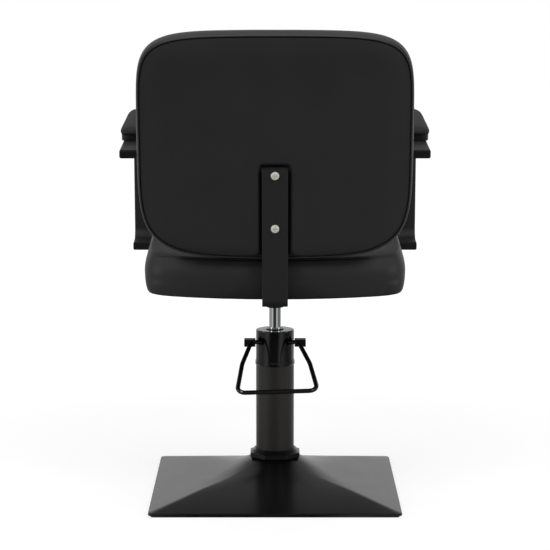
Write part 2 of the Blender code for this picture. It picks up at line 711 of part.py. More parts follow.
def build_pedal_block(side, sign, finish):
    axis = pedal_axis()
    outer = BLOCK_INNER_X + BLOCK_WIDTH
    xs = sorted((sign * BLOCK_INNER_X, sign * outer))
    low = axis + Vector((xs[0], -BLOCK_FRONT, -BLOCK_HEIGHT / 2.0))
    high = axis + Vector((xs[1], BLOCK_REAR, BLOCK_HEIGHT / 2.0))
    far = Vector((outer + CLEAR, 0.0, 0.0))
    bore = rod(SHAFT_RADIUS + FIT_GAP, axis - far, axis + far, INNER_ROUND)
    hole_end = axis + Vector((sign * BAIL_START_X, BLOCK_REAR - ROD_GRIP, 0.0))
    hole = rod(ROD_RADIUS + FIT_GAP, hole_end, hole_end + Vector((0.0, ROD_GRIP + CLEAR, 0.0)))
    screw_y = BLOCK_REAR - ROD_GRIP / 2.0
    screw_in = axis + Vector((sign * (BAIL_START_X + ROD_RADIUS), screw_y, 0.0))
    tap = rod(M5_RADIUS + FIT_GAP, screw_in, screw_in + Vector((sign * (BLOCK_WIDTH + CLEAR), 0.0, 0.0)))
    block = chamfered_box(low, high, EDGE)
    add_piece(side + "_pedal_block", block, finish["gloss"], axis, [bore, hole, tap])

    length = outer - BAIL_START_X - ROD_RADIUS - 2.0 * FIT_GAP
    grub = [(M5_RADIUS - EDGE, 0.0), (M5_RADIUS, EDGE), (M5_RADIUS, length), (M5_SOCKET_RADIUS, length)]
    grub += [(M5_SOCKET_RADIUS, length - M5_SOCKET_DEPTH)]
    turn = Matrix.Rotation(math.radians(90.0 * sign), 4, "Y")
    place = Matrix.Translation(screw_in + Vector((sign * FIT_GAP, 0.0, 0.0))) @ turn
    add_piece(side + "_block_screw", moved(revolve(grub, SMALL_ROUND, False), place), finish["steel"], axis)


# Fasteners: each points along +Z from the underside of its head, so its shank is above z = 0.

def hex_bolt(length):
    rings = [polygon_ring(M8_HEX_RADIUS * 0.9, -M8_HEX_HEIGHT, 6, SMALL_ROUND)]
    rings.append(polygon_ring(M8_HEX_RADIUS, EDGE - M8_HEX_HEIGHT, 6, SMALL_ROUND))
    rings.append(polygon_ring(M8_HEX_RADIUS, 0.0, 6, SMALL_ROUND))
    rings.append(circle(M8_RADIUS, 0.0, SMALL_ROUND))
    rings.append(circle(M8_RADIUS, length - EDGE, SMALL_ROUND))
    rings.append(circle(M8_RADIUS - EDGE, length, SMALL_ROUND))
    return loft(rings)


def cap_bolt(length):
    """An M6 bolt with a round head and a driver socket in it."""
    profile = [(M6_SOCKET_RADIUS, M6_SOCKET_DEPTH - M6_CAP_HEIGHT), (M6_SOCKET_RADIUS, -M6_CAP_HEIGHT)]
    profile += [(M6_CAP_RADIUS - EDGE, -M6_CAP_HEIGHT), (M6_CAP_RADIUS, EDGE - M6_CAP_HEIGHT)]
    profile += [(M6_CAP_RADIUS, 0.0), (M6_RADIUS, 0.0), (M6_RADIUS, length - EDGE), (M6_RADIUS - EDGE, length)]
    return revolve(profile, SMALL_ROUND, False)


def pan_screw(radius, head_radius, head_height, length, count=SMALL_ROUND):
    profile = [(0.45 * head_radius, -head_height), (0.78 * head_radius, -0.88 * head_height)]
    profile += [(0.95 * head_radius, -0.60 * head_height), (head_radius, -0.25 * head_height)]
    profile += [(head_radius, 0.0), (radius, 0.0), (radius, length - EDGE), (radius - EDGE, length)]
    return revolve(profile, count, False)


def cross_recess(head_radius, head_height):
    """Two crossed bars that cut the driver recess in a pan head."""
    reach = 0.58 * head_radius
    half = RECESS_WIDTH / 2.0
    low = -head_height - CLEAR
    high = -head_height + RECESS_DEPTH
    plan = [(reach, -half), (reach, half), (half, half), (half, reach), (-half, reach), (-half, half)]
    plan += [(-reach, half), (-reach, -half), (-half, -half), (-half, -reach), (half, -reach), (half, -half)]
    return loft([[Vector((x, y, z)) for x, y in plan] for z in (low, high)])


# Seat

def seat_ring(inset, z, power_shift=0.0):
    power = SEAT_POWER - power_shift
    outline = superellipse(SEAT_HALF_WIDTH - inset, (SEAT_REAR - inset, SEAT_FRONT - inset),
                           (power, power), (SEAT_REAR_BOW, 0.0))
    return [Vector((x, y, z)) for x, y in outline]


def seat_cushion_rings():
    """From the board's pocket, over the drawn-in side and the seam, to the top panel.

    The top panel climbs steeply from the seam, rolls over a full shoulder and is nearly flat.
    """
    bottom = BOARD_BOTTOM_Z + FIT_GAP
    roof = BOARD_BOTTOM_Z + BOARD_THICKNESS + FIT_GAP
    wall = BOARD_INSET - FIT_GAP
    rings = [seat_ring(wall, roof), seat_ring(wall, bottom)]
    tall = SEAT_SEAM_Z - bottom
    for draw, share in ((0.80, 0.03), (0.49, 0.13), (0.20, 0.30), (0.03, 0.50), (0.03, 0.68),
                        (0.21, 0.86), (0.46, 0.97), (0.59, 1.0), (0.70, 0.985)):
        rings.append(seat_ring(draw * BOARD_INSET, bottom + tall * share))
    for draw, share in ((0.036, 0.12), (0.034, 0.35), (0.042, 0.58), (0.062, 0.78), (0.10, 0.90),
                        (0.26, 0.97), (0.70, 1.0)):
        rings.append(seat_ring(draw * SEAT_HALF_WIDTH, SEAT_SEAM_Z + SEAT_CROWN * share, 5.0 * draw))
    return rings


def build_seat(finish):
    tilt = seat_frame_matrix()
    pivot = (0.0, 0.0, SOCKET_BOTTOM_Z)
    board_top = BOARD_BOTTOM_Z + BOARD_THICKNESS
    board = [seat_ring(BOARD_INSET, BOARD_BOTTOM_Z), seat_ring(BOARD_INSET, board_top)]
    side_holes = [moved(hole, tilt) for hole in arm_bolt_holes(1.0) + arm_bolt_holes(-1.0)]
    holes = [moved(hole, tilt) for hole in plate_bolt_holes() + bracket_bolt_holes()]
    add_piece("seat_board", moved(loft(board), tilt), finish["wood"], pivot, holes + side_holes)
    add_piece("seat_cushion", moved(loft(seat_cushion_rings()), tilt), finish["vinyl"], pivot, side_holes)


def plate_bottom_z():
    return BOARD_BOTTOM_Z - FIT_GAP - PLATE_THICKNESS


def plate_bolt_places():
    x = PLATE_HALF_X - PLATE_BOLT_EDGE
    front = PLATE_FRONT_Y + PLATE_BOLT_EDGE
    rear = PLATE_REAR_Y - PLATE_BOLT_EDGE
    return {"left_front": (x, front), "right_front": (-x, front),
            "left_rear": (x, rear), "right_rear": (-x, rear)}


def plate_bolt_holes():
    low = plate_bottom_z() - CLEAR
    high = BOARD_BOTTOM_Z + BOLT_BITE + FIT_GAP
    radius = M8_RADIUS + FIT_GAP
    return [rod(radius, (x, y, low), (x, y, high)) for x, y in plate_bolt_places().values()]


def build_seat_carrier(finish):
    tilt = seat_frame_matrix()
    pivot = (0.0, 0.0, SOCKET_BOTTOM_Z)
    low = plate_bottom_z()
    corner = Vector((-PLATE_HALF_X, PLATE_FRONT_Y, low))
    opposite = Vector((PLATE_HALF_X, PLATE_REAR_Y, low + PLATE_THICKNESS))
    plate = moved(chamfered_box(corner, opposite, EDGE), tilt)
    holes = [moved(hole, tilt) for hole in plate_bolt_holes()]
    add_piece("seat_plate", plate, finish["powder"], pivot, holes)

    length = FIT_GAP + PLATE_THICKNESS + FIT_GAP + BOLT_BITE
    for place, (x, y) in plate_bolt_places().items():
        spot = tilt @ Matrix.Translation((x, y, low - FIT_GAP))
        add_piece(place + "_plate_bolt", moved(hex_bolt(length), spot), finish["zinc"], pivot)
    build_ram_socket(finish, low)


def build_ram_socket(finish, plate_low):
    """The cone that takes the ram; its top is cut to the tilt of the seat plate."""
    bore = RAM_RADIUS + FIT_GAP
    end = SOCKET_BOTTOM_Z + SOCKET_DEPTH
    slope = math.tan(math.radians(SEAT_TILT))
    height = SEAT_PIVOT_Z + (plate_low - SEAT_PIVOT_Z) / math.cos(math.radians(SEAT_TILT)) - FIT_GAP
    rings = [circle(bore, end), circle(bore, SOCKET_BOTTOM_Z)]
    rings.append(circle(SOCKET_BOTTOM_RADIUS - EDGE, SOCKET_BOTTOM_Z))
    rings.append(circle(SOCKET_BOTTOM_RADIUS, SOCKET_BOTTOM_Z + EDGE))
    rings.append([Vector((p.x, p.y, height - slope * p.y)) for p in circle(SOCKET_TOP_RADIUS, 0.0)])
    add_piece("ram_socket", loft(rings), finish["powder"], (0.0, 0.0, SOCKET_BOTTOM_Z))


# Backrest and its bracket

def back_ring(inset, forward, power_shift=0.0):
    outline = superellipse(BACK_HALF_WIDTH - inset, (BACK_HEIGHT - BACK_WAIST - inset, BACK_WAIST - inset),
                           (BACK_TOP_POWER - 2.0 * power_shift, BACK_BOTTOM_POWER - power_shift),
                           (BACK_TOP_BOW, BACK_BOTTOM_BOW))
    return [Vector((x, BACK_WAIST + y, forward)) for x, y in outline]


def back_cushion_rings():
    """From the rear pocket, over the rear seam and the boxing, to the crown of the front panel."""
    pocket = PANEL_INSET - FIT_GAP
    floor = PANEL_THICKNESS + FIT_GAP
    rings = [back_ring(pocket, floor), back_ring(pocket, PANEL_EDGE / 2.0)]
    for draw, share in ((1.0, 0.003), (0.75, 0.017), (0.33, 0.10), (0.09, 0.27), (0.0, 0.50), (0.31, 0.76),
                        (1.07, 0.93), (1.60, 0.985), (1.95, 0.965)):
        rings.append(back_ring(draw * BACK_SEAM_INSET, BACK_THICKNESS * share))
    reach = BACK_HEIGHT - BACK_WAIST
    for draw, share in ((0.055, 0.03), (0.11, 0.30), (0.21, 0.58), (0.43, 0.84), (0.64, 0.96), (0.86, 1.0)):
        rings.append(back_ring(draw * reach, BACK_THICKNESS + BACK_CROWN * share, 1.9 * draw))
    return rings


def back_screw_heights():
    upper = BAR_TOP - BACK_SCREW_DROP
    return {"upper": upper, "lower": upper - BACK_SCREW_SPACING}


def back_screw_holes():
    start = -BAR_THICKNESS - CLEAR
    end = PANEL_THICKNESS - SCREW_TIP + FIT_GAP
    return [rod(M8_RADIUS + FIT_GAP, (0.0, s, start), (0.0, s, end)) for s in back_screw_heights().values()]


def build_backrest(finish):
    lean = back_frame_matrix()
    pivot = (0.0, BACK_Y, BACK_Z)
    add_piece("backrest_cushion", moved(loft(back_cushion_rings()), lean), finish["vinyl"], pivot)
    panel = []
    deep = PANEL_THICKNESS / PANEL_EDGE
    for roll, forward in ((18.0, 0.0), (2.0, 0.0), (0.6, 0.27), (0.0, 1.0), (0.0, deep)):
        panel.append(back_ring(PANEL_INSET + roll * PANEL_EDGE, forward * PANEL_EDGE))
    holes = [moved(hole, lean) for hole in back_screw_holes()]
    add_piece("backrest_panel", moved(loft(panel), lean), finish["vinyl"], pivot, holes)

    length = FIT_GAP + BAR_THICKNESS + FIT_GAP + PANEL_THICKNESS - SCREW_TIP
    head = pan_screw(M8_RADIUS, M8_PAN_RADIUS, M8_PAN_HEIGHT, length, INNER_ROUND)
    recess = cross_recess(M8_PAN_RADIUS, M8_PAN_HEIGHT)
    for place, up in back_screw_heights().items():
        spot = lean @ Matrix.Translation((0.0, up, -BAR_THICKNESS - 2.0 * FIT_GAP))
        tools = [moved(recess, spot)]
        add_piece(place + "_back_screw", moved(head, spot), finish["zinc"], pivot, tools)


def bar_path():
    """The bracket's middle line: under the seat board, round the bend and up the back panel."""
    tilt = seat_frame_matrix()
    lean = back_frame_matrix()
    level = BOARD_BOTTOM_Z - FIT_GAP - BAR_THICKNESS / 2.0
    front = tilt @ Vector((0.0, BAR_FRONT_Y, level))
    under = tilt @ Vector((0.0, BAR_FRONT_Y + BAR_WIDTH, level)) - front
    top = lean @ Vector((0.0, BAR_TOP, -BAR_THICKNESS / 2.0 - FIT_GAP))
    down = lean @ Vector((0.0, BAR_TOP - BAR_WIDTH, -BAR_THICKNESS / 2.0 - FIT_GAP)) - top
    gap = top - front
    share = (gap.y * down.z - gap.z * down.y) / (under.y * down.z - under.z * down.y)
    return rounded_path([front, front + under * share, top], [BAR_BEND], BEND_STEPS)


def bracket_bolt_holes():
    low = BOARD_BOTTOM_Z - BAR_THICKNESS - CLEAR
    high = BOARD_BOTTOM_Z + BOLT_BITE + FIT_GAP
    return [rod(M8_RADIUS + FIT_GAP, (0.0, y, low), (0.0, y, high)) for y in BAR_BOLT_Y]


def build_bracket(finish):
    tilt = seat_frame_matrix()
    lean = back_frame_matrix()
    pivot = (0.0, BACK_Y, BACK_Z)
    edge = rounded_rectangle(BAR_WIDTH / 2.0, BAR_THICKNESS / 2.0, EDGE, 1)
    bar = loft(plane_sweep(bar_path(), edge, Vector((1.0, 0.0, 0.0))))
    holes = [moved(hole, tilt) for hole in bracket_bolt_holes()]
    holes += [moved(hole, lean) for hole in back_screw_holes()]
    add_piece("back_bracket", bar, finish["powder"], pivot, holes)

    length = FIT_GAP + BAR_THICKNESS + FIT_GAP + BOLT_BITE
    head_z = BOARD_BOTTOM_Z - BAR_THICKNESS - 2.0 * FIT_GAP
    for place, y in zip(("front", "rear"), BAR_BOLT_Y):
        spot = tilt @ Matrix.Translation((0.0, y, head_z))
        add_piece(place + "_bracket_bolt", moved(hex_bolt(length), spot), finish["zinc"], pivot)


# Arms, drawn on the left and mirrored to the right

def arm_middle_x():
    return ARM_INNER_X + ARM_WIDTH / 2.0


def arm_bolt_holes(sign):
    """Shank holes from inside the foot tube to the end of the thread in the board."""
    tube = sign * arm_middle_x()
    end = sign * (ARM_BOLT_END_X - FIT_GAP)
    return [rod(M6_RADIUS + FIT_GAP, (end, y, ARM_FOOT_Z), (tube, y, ARM_FOOT_Z)) for y in ARM_BOLT_Y]


def arm_access_holes():
    """Holes in the outer wall of the foot tube that let the bolt heads in."""
    outer = ARM_INNER_X + 2.0 * ARM_WIDTH
    radius = M6_CAP_RADIUS + ARM_ACCESS_GAP
    return [rod(radius, (arm_middle_x(), y, ARM_FOOT_Z), (outer, y, ARM_FOOT_Z)) for y in ARM_BOLT_Y]


def pad_screw_places():
    return {"front": PAD_MIDDLE_Y - PAD_SCREW_OFFSET, "rear": PAD_MIDDLE_Y + PAD_SCREW_OFFSET}


def pad_screw_holes(x):
    low = ARM_RAIL_Z - ARM_DEPTH
    high = ARM_RAIL_Z + ARM_DEPTH / 2.0 + 2.0 * FIT_GAP + PAD_BASE - SCREW_TIP
    return [rod(M5_RADIUS + FIT_GAP, (x, y, low), (x, y, high)) for y in pad_screw_places().values()]


def arm_tube_rings(x):
    corners = [(x, ARM_RAIL_END_Y, ARM_RAIL_Z), (x, ARM_LEG_Y, ARM_RAIL_Z)]
    corners += [(x, ARM_LEG_Y, ARM_FOOT_Z), (x, ARM_FOOT_END_Y, ARM_FOOT_Z)]
    path = rounded_path(corners, [ARM_BEND, ARM_BEND], BEND_STEPS)
    across = Vector((1.0, 0.0, 0.0))
    outer = rounded_rectangle(ARM_WIDTH / 2.0, ARM_DEPTH / 2.0, ARM_CORNER)
    inner = rounded_rectangle(ARM_WIDTH / 2.0 - ARM_WALL, ARM_DEPTH / 2.0 - ARM_WALL, ARM_CORNER - ARM_WALL)
    return plane_sweep(path, outer, across) + plane_sweep(path, inner, across)[::-1]


def end_cap(x, y, z):
    """A plug for a tube end that faces +Y: a face plate and a stem inside the tube."""
    inside = ARM_WALL + FIT_GAP
    stem = (ARM_WIDTH / 2.0 - inside, ARM_DEPTH / 2.0 - inside, ARM_CORNER - ARM_WALL)
    face = (ARM_WIDTH / 2.0 - CAP_MARGIN, ARM_DEPTH / 2.0 - CAP_MARGIN, ARM_CORNER - CAP_MARGIN)
    front = tuple(size - EDGE for size in face)
    near = y + FIT_GAP
    far = near + CAP_THICKNESS
    rings = []
    for at, section in ((y - CAP_GRIP, stem), (near, stem), (near, face), (far - EDGE, face), (far, front)):
        rings.append([Vector((x + a, at, z + b)) for a, b in rounded_rectangle(*section)])
    return loft(rings)


def pad_ring(x, inset, z, power_shift=0.0):
    reach = PAD_HALF_LENGTH - inset
    power = PAD_POWER - power_shift
    outline = superellipse(PAD_HALF_WIDTH - inset, (reach, reach), (power, power), count=PAD_STEPS)
    return [Vector((x + a, PAD_MIDDLE_Y + b, z)) for a, b in outline]


def arm_pad_rings(x):
    bottom = ARM_RAIL_Z + ARM_DEPTH / 2.0 + PAD_BASE + 2.0 * FIT_GAP
    tall = PAD_HEIGHT - PAD_BASE
    rings = []
    for draw, share in ((0.13, 0.0), (0.04, 0.06), (0.0, 0.22), (0.02, 0.42), (0.10, 0.64),
                        (0.25, 0.82), (0.44, 0.925), (0.64, 0.98), (0.83, 1.0)):
        rings.append(pad_ring(x, draw * PAD_HALF_WIDTH, bottom + tall * share, 1.2 * draw))
    return rings


def build_arm(side, mirror, finish):
    place = seat_frame_matrix() @ mirror
    pivot = (0.0, 0.0, SOCKET_BOTTOM_Z)
    x = arm_middle_x()
    rail_top = ARM_RAIL_Z + ARM_DEPTH / 2.0
    screw_holes = pad_screw_holes(x)
    holes = [moved(hole, place) for hole in screw_holes + arm_bolt_holes(1.0) + arm_access_holes()]
    add_piece(side + "_arm_frame", moved(loft(arm_tube_rings(x), True), place), finish["powder"], pivot, holes)
    cap = end_cap(x, ARM_RAIL_END_Y, ARM_RAIL_Z)
    add_piece(side + "_rail_plug", moved(cap, place), finish["plastic"], pivot)
    cap = end_cap(x, ARM_FOOT_END_Y, ARM_FOOT_Z)
    add_piece(side + "_foot_plug", moved(cap, place), finish["plastic"], pivot)

    low = rail_top + FIT_GAP
    base = [pad_ring(x, PAD_BASE_INSET, z) for z in (low, low + PAD_BASE)]
    holes = [moved(hole, place) for hole in screw_holes]
    add_piece(side + "_pad_base", moved(loft(base), place), finish["plastic"], pivot, holes)
    add_piece(side + "_arm_pad", moved(loft(arm_pad_rings(x)), place), finish["vinyl"], pivot)
    build_arm_fasteners(side, place, finish)


def build_arm_fasteners(side, place, finish):
    pivot = (0.0, 0.0, SOCKET_BOTTOM_Z)
    seat = ARM_INNER_X + ARM_WALL + FIT_GAP
    bolt = cap_bolt(seat - ARM_BOLT_END_X)
    inward = Matrix.Rotation(math.radians(-90.0), 4, "Y")
    for name, y in zip(("rear", "front"), ARM_BOLT_Y):
        spot = place @ Matrix.Translation((seat, y, ARM_FOOT_Z)) @ inward
        add_piece(f"{side}_{name}_arm_bolt", moved(bolt, spot), finish["powder"], pivot)
    low = ARM_RAIL_Z - ARM_DEPTH / 2.0 - FIT_GAP
    length = ARM_DEPTH + 2.0 * FIT_GAP + PAD_BASE - SCREW_TIP
    screw = pan_screw(M5_RADIUS, M5_PAN_RADIUS, M5_PAN_HEIGHT, length)
    for name, y in pad_screw_places().items():
        spot = place @ Matrix.Translation((arm_middle_x(), y, low))
        add_piece(f"{side}_{name}_pad_screw", moved(screw, spot), finish["zinc"], pivot)


def main():
    clear_scene()
    finish = make_materials()
    build_base(finish)
    build_pump(finish)
    build_plunger(finish)
    build_ram(finish)
    build_pedal(finish)
    build_seat_carrier(finish)
    build_seat(finish)
    build_bracket(finish)
    build_backrest(finish)
    build_arm("left", Matrix.Identity(4), finish)
    build_arm("right", Matrix.Scale(-1.0, 4, (1.0, 0.0, 0.0)), finish)


main()
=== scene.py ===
"""Looks of a hairdressing chair: upholstery, finishes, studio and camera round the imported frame.

The chair faces -Y and the camera looks at its back from +Y. Lengths are in metres.
"""
import json
import math

import bpy
import numpy as np
from bpy.props import FloatProperty, FloatVectorProperty, IntProperty, PointerProperty
from mathutils import Matrix, Vector


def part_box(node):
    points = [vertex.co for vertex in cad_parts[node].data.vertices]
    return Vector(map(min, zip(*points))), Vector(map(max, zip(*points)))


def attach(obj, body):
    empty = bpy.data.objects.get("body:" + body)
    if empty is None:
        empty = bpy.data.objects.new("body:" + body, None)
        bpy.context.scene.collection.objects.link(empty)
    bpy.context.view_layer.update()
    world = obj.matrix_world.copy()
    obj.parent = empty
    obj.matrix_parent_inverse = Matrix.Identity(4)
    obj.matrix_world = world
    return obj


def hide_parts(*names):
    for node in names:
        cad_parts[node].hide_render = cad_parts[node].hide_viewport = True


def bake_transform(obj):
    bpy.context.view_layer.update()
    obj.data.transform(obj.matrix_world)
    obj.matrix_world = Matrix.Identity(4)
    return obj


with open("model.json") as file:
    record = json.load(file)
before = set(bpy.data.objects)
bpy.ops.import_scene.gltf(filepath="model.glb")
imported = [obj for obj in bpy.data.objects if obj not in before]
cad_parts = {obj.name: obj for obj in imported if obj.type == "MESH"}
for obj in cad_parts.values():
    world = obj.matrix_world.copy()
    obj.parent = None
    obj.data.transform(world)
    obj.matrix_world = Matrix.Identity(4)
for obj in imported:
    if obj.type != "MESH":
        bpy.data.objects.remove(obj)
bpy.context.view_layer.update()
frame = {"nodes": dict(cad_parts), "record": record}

bl_info = {
    "name": "Hairdressing chair looks",
    "version": (1, 0, 0),
    "blender": (4, 5, 0),
    "location": "View3D > Sidebar > Chair",
    "description": "Upholstery, finishes and studio for a hairdressing chair on a hydraulic pump",
    "category": "Object",
}

MM = 0.001


def linear(code):
    """An sRGB hex colour as the linear values that shaders take."""
    channels = [int(code[i:i + 2], 16) / 255.0 for i in (1, 3, 5)]
    return tuple(c / 12.92 if c <= 0.04045 else ((c + 0.055) / 1.055) ** 2.4 for c in channels)


def colour(name, description, code):
    return FloatVectorProperty(name=name, description=description, subtype="COLOR", size=3,
                               min=0.0, max=1.0, default=linear(code))


def length(name, description, default):
    return FloatProperty(name=name, description=description, default=default, unit="LENGTH")


def angle(name, description, degrees):
    return FloatProperty(name=name, description=description, default=math.radians(degrees), unit="ROTATION")


def power(name, description, watts):
    return FloatProperty(name=name, description=description, default=watts, min=0.0, unit="POWER")


class ChairSizes(bpy.types.PropertyGroup):
    """Sizes of the upholstery, which repeat those of the solids."""
    seat_half_width: length("Seat half width", "From the middle to its widest line", 0.248)
    seat_rear: length("Seat rear", "From the pump's axis to its rear edge", 0.251)
    seat_front: length("Seat front", "From the pump's axis to its front edge", 0.285)
    seat_low: length("Seat underside", "Height of its lower edge before the tilt", 0.4343)
    seat_seam: length("Seat seam", "Height of the solid's seam before the tilt", 0.495)
    seat_crown: length("Seat crown", "Rise above the seam", 0.021)
    seat_pivot: length("Seat pivot", "Height of the point it is tilted about", 0.420)
    seat_tilt: angle("Seat tilt", "Front edge up", 4.3)
    board_inset: length("Board inset", "From the seat's outline to the board", 0.014)
    board_thickness: length("Board thickness", "Depth of its pocket", 0.024)
    back_half_width: length("Back half width", "From the middle to its widest line", 0.2505)
    back_height: length("Back height", "Along the slope of the backrest", 0.422)
    back_waist: length("Back waist", "Widest line above the lower edge", 0.235)
    back_thickness: length("Back thickness", "From the rear face to the front seam", 0.060)
    back_crown: length("Back crown", "Swell in front of the seam", 0.012)
    back_y: length("Back lower edge y", "Rear face at the lower edge", 0.271)
    back_z: length("Back lower edge z", "Height of the lower edge", 0.494)
    back_recline: angle("Back recline", "Lean from upright", 10.2)
    panel_inset: length("Rear panel inset", "From the backrest's outline to the rear panel", 0.0058)
    panel_thickness: length("Rear panel thickness", "Board with its vinyl", 0.012)
    bar_half_width: length("Bar half width", "Bar that presses on the rear panel", 0.02375)
    bar_top: length("Bar top", "Above the panel's lower edge", 0.1751)
    pad_x: length("Arm pad middle", "From the middle of the chair", 0.271)
    pad_y: length("Arm pad middle y", "Along the rail, from the pump's axis", -0.1165)
    pad_low: length("Arm pad underside", "Height before the tilt", 0.7092)
    pad_height: length("Arm pad height", "Thickness of the padding", 0.0155)
    pad_half_width: length("Arm pad half width", "Across the rail", 0.0295)
    pad_half_length: length("Arm pad half length", "Along the rail", 0.1415)


class ChairColours(bpy.types.PropertyGroup):
    """Base colours of the finishes."""
    vinyl: colour("Vinyl", "Upholstery", "#202022")
    powder: colour("Powder coat", "Base", "#0A0A0B")
    matt: colour("Matt powder coat", "Back bracket, arms and plates", "#171718")
    tube: colour("Pump tube", "Satin enamel of the pump's outer tube", "#211E1C")
    enamel: colour("Enamel", "Pump head and pedal", "#0B0B0C")
    chrome: colour("Chrome", "Ram", "#D9DCDE")
    zinc: colour("Zinc", "Screws and bolts", "#EFECE5")
    steel: colour("Steel", "Machined pieces inside the pump", "#A3A5A6")
    bronze: colour("Bronze", "Gland of the inner cylinder", "#A8793F")
    plastic: colour("Plastic", "End plugs and pad bases", "#0E0E0F")
    rubber: colour("Rubber", "Wiper and seal", "#0D0D0D")
    plywood: colour("Plywood", "Stained seat board", "#241C16")
    oxide: colour("Black oxide", "Pedal blocks", "#0C0C0D")


class ChairStudio(bpy.types.PropertyGroup):
    """Camera and light."""
    camera_y: length("Camera distance", "Behind the pump's axis", 4.08)
    camera_z: length("Camera height", "Above the floor", 1.016)
    camera_pitch: angle("Camera pitch", "Below the horizon", 8.2)
    focal_pixels: FloatProperty(name="Focal length in pixels", description="For a picture 550 pixels wide",
                                default=2095.0, min=1.0)
    top_watts: power("Top light", "Overhead softbox", 26.0)
    side_watts: power("Side lights", "Each softbox beside the chair", 9.0)
    low_watts: power("Low light", "Panel on the floor behind the chair", 7.0)
    rear_watts: power("Rear lights", "Each softbox high up beside the camera", 34.0)
    fill: FloatProperty(name="Fill", description="Even light from the whole room", default=0.12, min=0.0)
    sim_frames: IntProperty(name="Padding steps", description="Steps of the padding simulation",
                            default=20, min=2)


def sizes():
    return bpy.context.scene.chair_sizes


def colours():
    return bpy.context.scene.chair_colours


def studio():
    return bpy.context.scene.chair_studio


def add_node(tree, kind, inputs=None, stops=(), **settings):
    """One node: settings are its own properties, stops the place and grey level of each stop of a ramp, and
    inputs are values or sockets to link from."""
    node = tree.nodes.new(kind)
    for name, value in settings.items():
        setattr(node, name, value)
    if stops:
        marks = node.color_ramp.elements
        while len(marks) < len(stops):
            marks.new(0.5)
        for mark, (along, level) in zip(marks, stops):
            mark.position = along
            mark.color = (level, level, level, 1.0)
    for name, value in (inputs or {}).items():
        socket = node.inputs[name]
        if isinstance(value, bpy.types.NodeSocket):
            tree.links.new(value, socket)
        else:
            socket.default_value = value
    return node


def new_material(name):
    """An empty material and its node tree."""
    material = bpy.data.materials.new(name)
    material.use_nodes = True
    material.node_tree.nodes.clear()
    return material, material.node_tree


def tone(base, factor):
    """A colour made darker or lighter."""
    return tuple(min(1.0, c * factor) for c in base) + (1.0,)


def pattern(tree, width, detail, stretch=(1.0, 1.0, 1.0), kind="ShaderNodeTexNoise", inputs=None, **settings):
    """A texture whose marks are that many millimetres wide, laid on the surface's own place and stretched."""
    where = add_node(tree, "ShaderNodeTexCoord").outputs["Object"]
    laid = add_node(tree, "ShaderNodeMapping", {"Vector": where, "Scale": stretch}).outputs["Vector"]
    shape = {"Vector": laid, "Scale": 1.0 / (width * MM), "Detail": detail, **(inputs or {})}
    return add_node(tree, kind, shape, **settings).outputs[0]


def end_finish(tree, base, tint, rough, reliefs, sockets, wear=None):
    """Ends a material. tint is a pattern and two tones of the base colour, rough a pattern and two values,
    each relief a pattern, its strength and its depth, from the finest up, and sockets what is the same all
    over. wear is the sharpness, of which 0.5 is flat, where an edge starts to rub off and where it is bare,
    and the bare tone."""
    marks, low, high = tint
    shade = add_node(tree, "ShaderNodeMix", {0: marks, 6: tone(base, low), 7: tone(base, high)},
                     data_type="RGBA")
    if wear:
        start, end, bare = wear
        sharp = add_node(tree, "ShaderNodeNewGeometry").outputs["Pointiness"]
        worn = add_node(tree, "ShaderNodeMapRange", {"Value": sharp, "From Min": start, "From Max": end})
        shade = add_node(tree, "ShaderNodeMix", {0: worn.outputs["Result"], 6: shade.outputs[2],
                                                 7: tone(base, bare)}, data_type="RGBA")
    marks, low, high = rough
    gloss = add_node(tree, "ShaderNodeMapRange", {"Value": marks, "To Min": low, "To Max": high})
    under = {}
    for marks, strength, depth in reliefs:
        bump = add_node(tree, "ShaderNodeBump",
                        {"Height": marks, "Strength": strength, "Distance": depth, **under})
        under = {"Normal": bump.outputs["Normal"]}
    surface = {"Base Color": shade.outputs[2], "Roughness": gloss.outputs["Result"], **under, **sockets}
    shader = add_node(tree, "ShaderNodeBsdfPrincipled", surface)
    add_node(tree, "ShaderNodeOutputMaterial", {"Surface": shader.outputs["BSDF"]})


# Finishes

def lay_vinyl(tree, base, rough_low, rough_high, specular):
    """PVC upholstery leather with an embossed grain: soft broad highlights, duller where it is stretched."""
    # The real grain is about 1 mm wide; it is drawn at 2.4 mm, or the picture wouldn't show it.
    grain = pattern(tree, 2.4, 0.0, kind="ShaderNodeTexVoronoi", inputs={"Smoothness": 0.6},
                    feature="SMOOTH_F1")
    pores = pattern(tree, 0.8, 3.0)
    clouds = pattern(tree, 90.0, 3.0, inputs={"Roughness": 0.55})
    end_finish(tree, base, (clouds, 0.88, 1.14), (clouds, rough_low, rough_high),
               [(pores, 0.05, 0.2 * MM), (grain, 0.16, 0.35 * MM)],
               {"IOR": 1.5, "Specular IOR Level": specular})


def lay_powder_coat(tree, base, rough_low, rough_high):
    """Powder coat on steel: baked plastic powder with a fine orange peel that breaks up reflections."""
    # Orange peel has dimples 1 to 2 mm apart; 2.2 mm is the finest that shows here.
    peel = pattern(tree, 2.2, 2.0)
    clouds = pattern(tree, 60.0, 4.0)
    end_finish(tree, base, (clouds, 0.85, 1.12), (clouds, rough_low, rough_high), [(peel, 0.10, 0.15 * MM)],
               {"IOR": 1.5, "Specular IOR Level": 0.35}, wear=(0.53, 0.62, 1.9))


def lay_tube_enamel(tree, base):
    """Satin stove enamel on drawn tube: faint lengthwise draw lines and a warm cast."""
    # Draw lines are fractions of a millimetre apart; 1.5 mm is drawn so that they show.
    lines = pattern(tree, 1.5, 2.0, (1.0, 1.0, 0.05))
    clouds = pattern(tree, 22.0, 4.0)
    end_finish(tree, base, (clouds, 0.8, 1.2), (lines, 0.36, 0.48), [(lines, 0.06, 0.1 * MM)], {"IOR": 1.5})


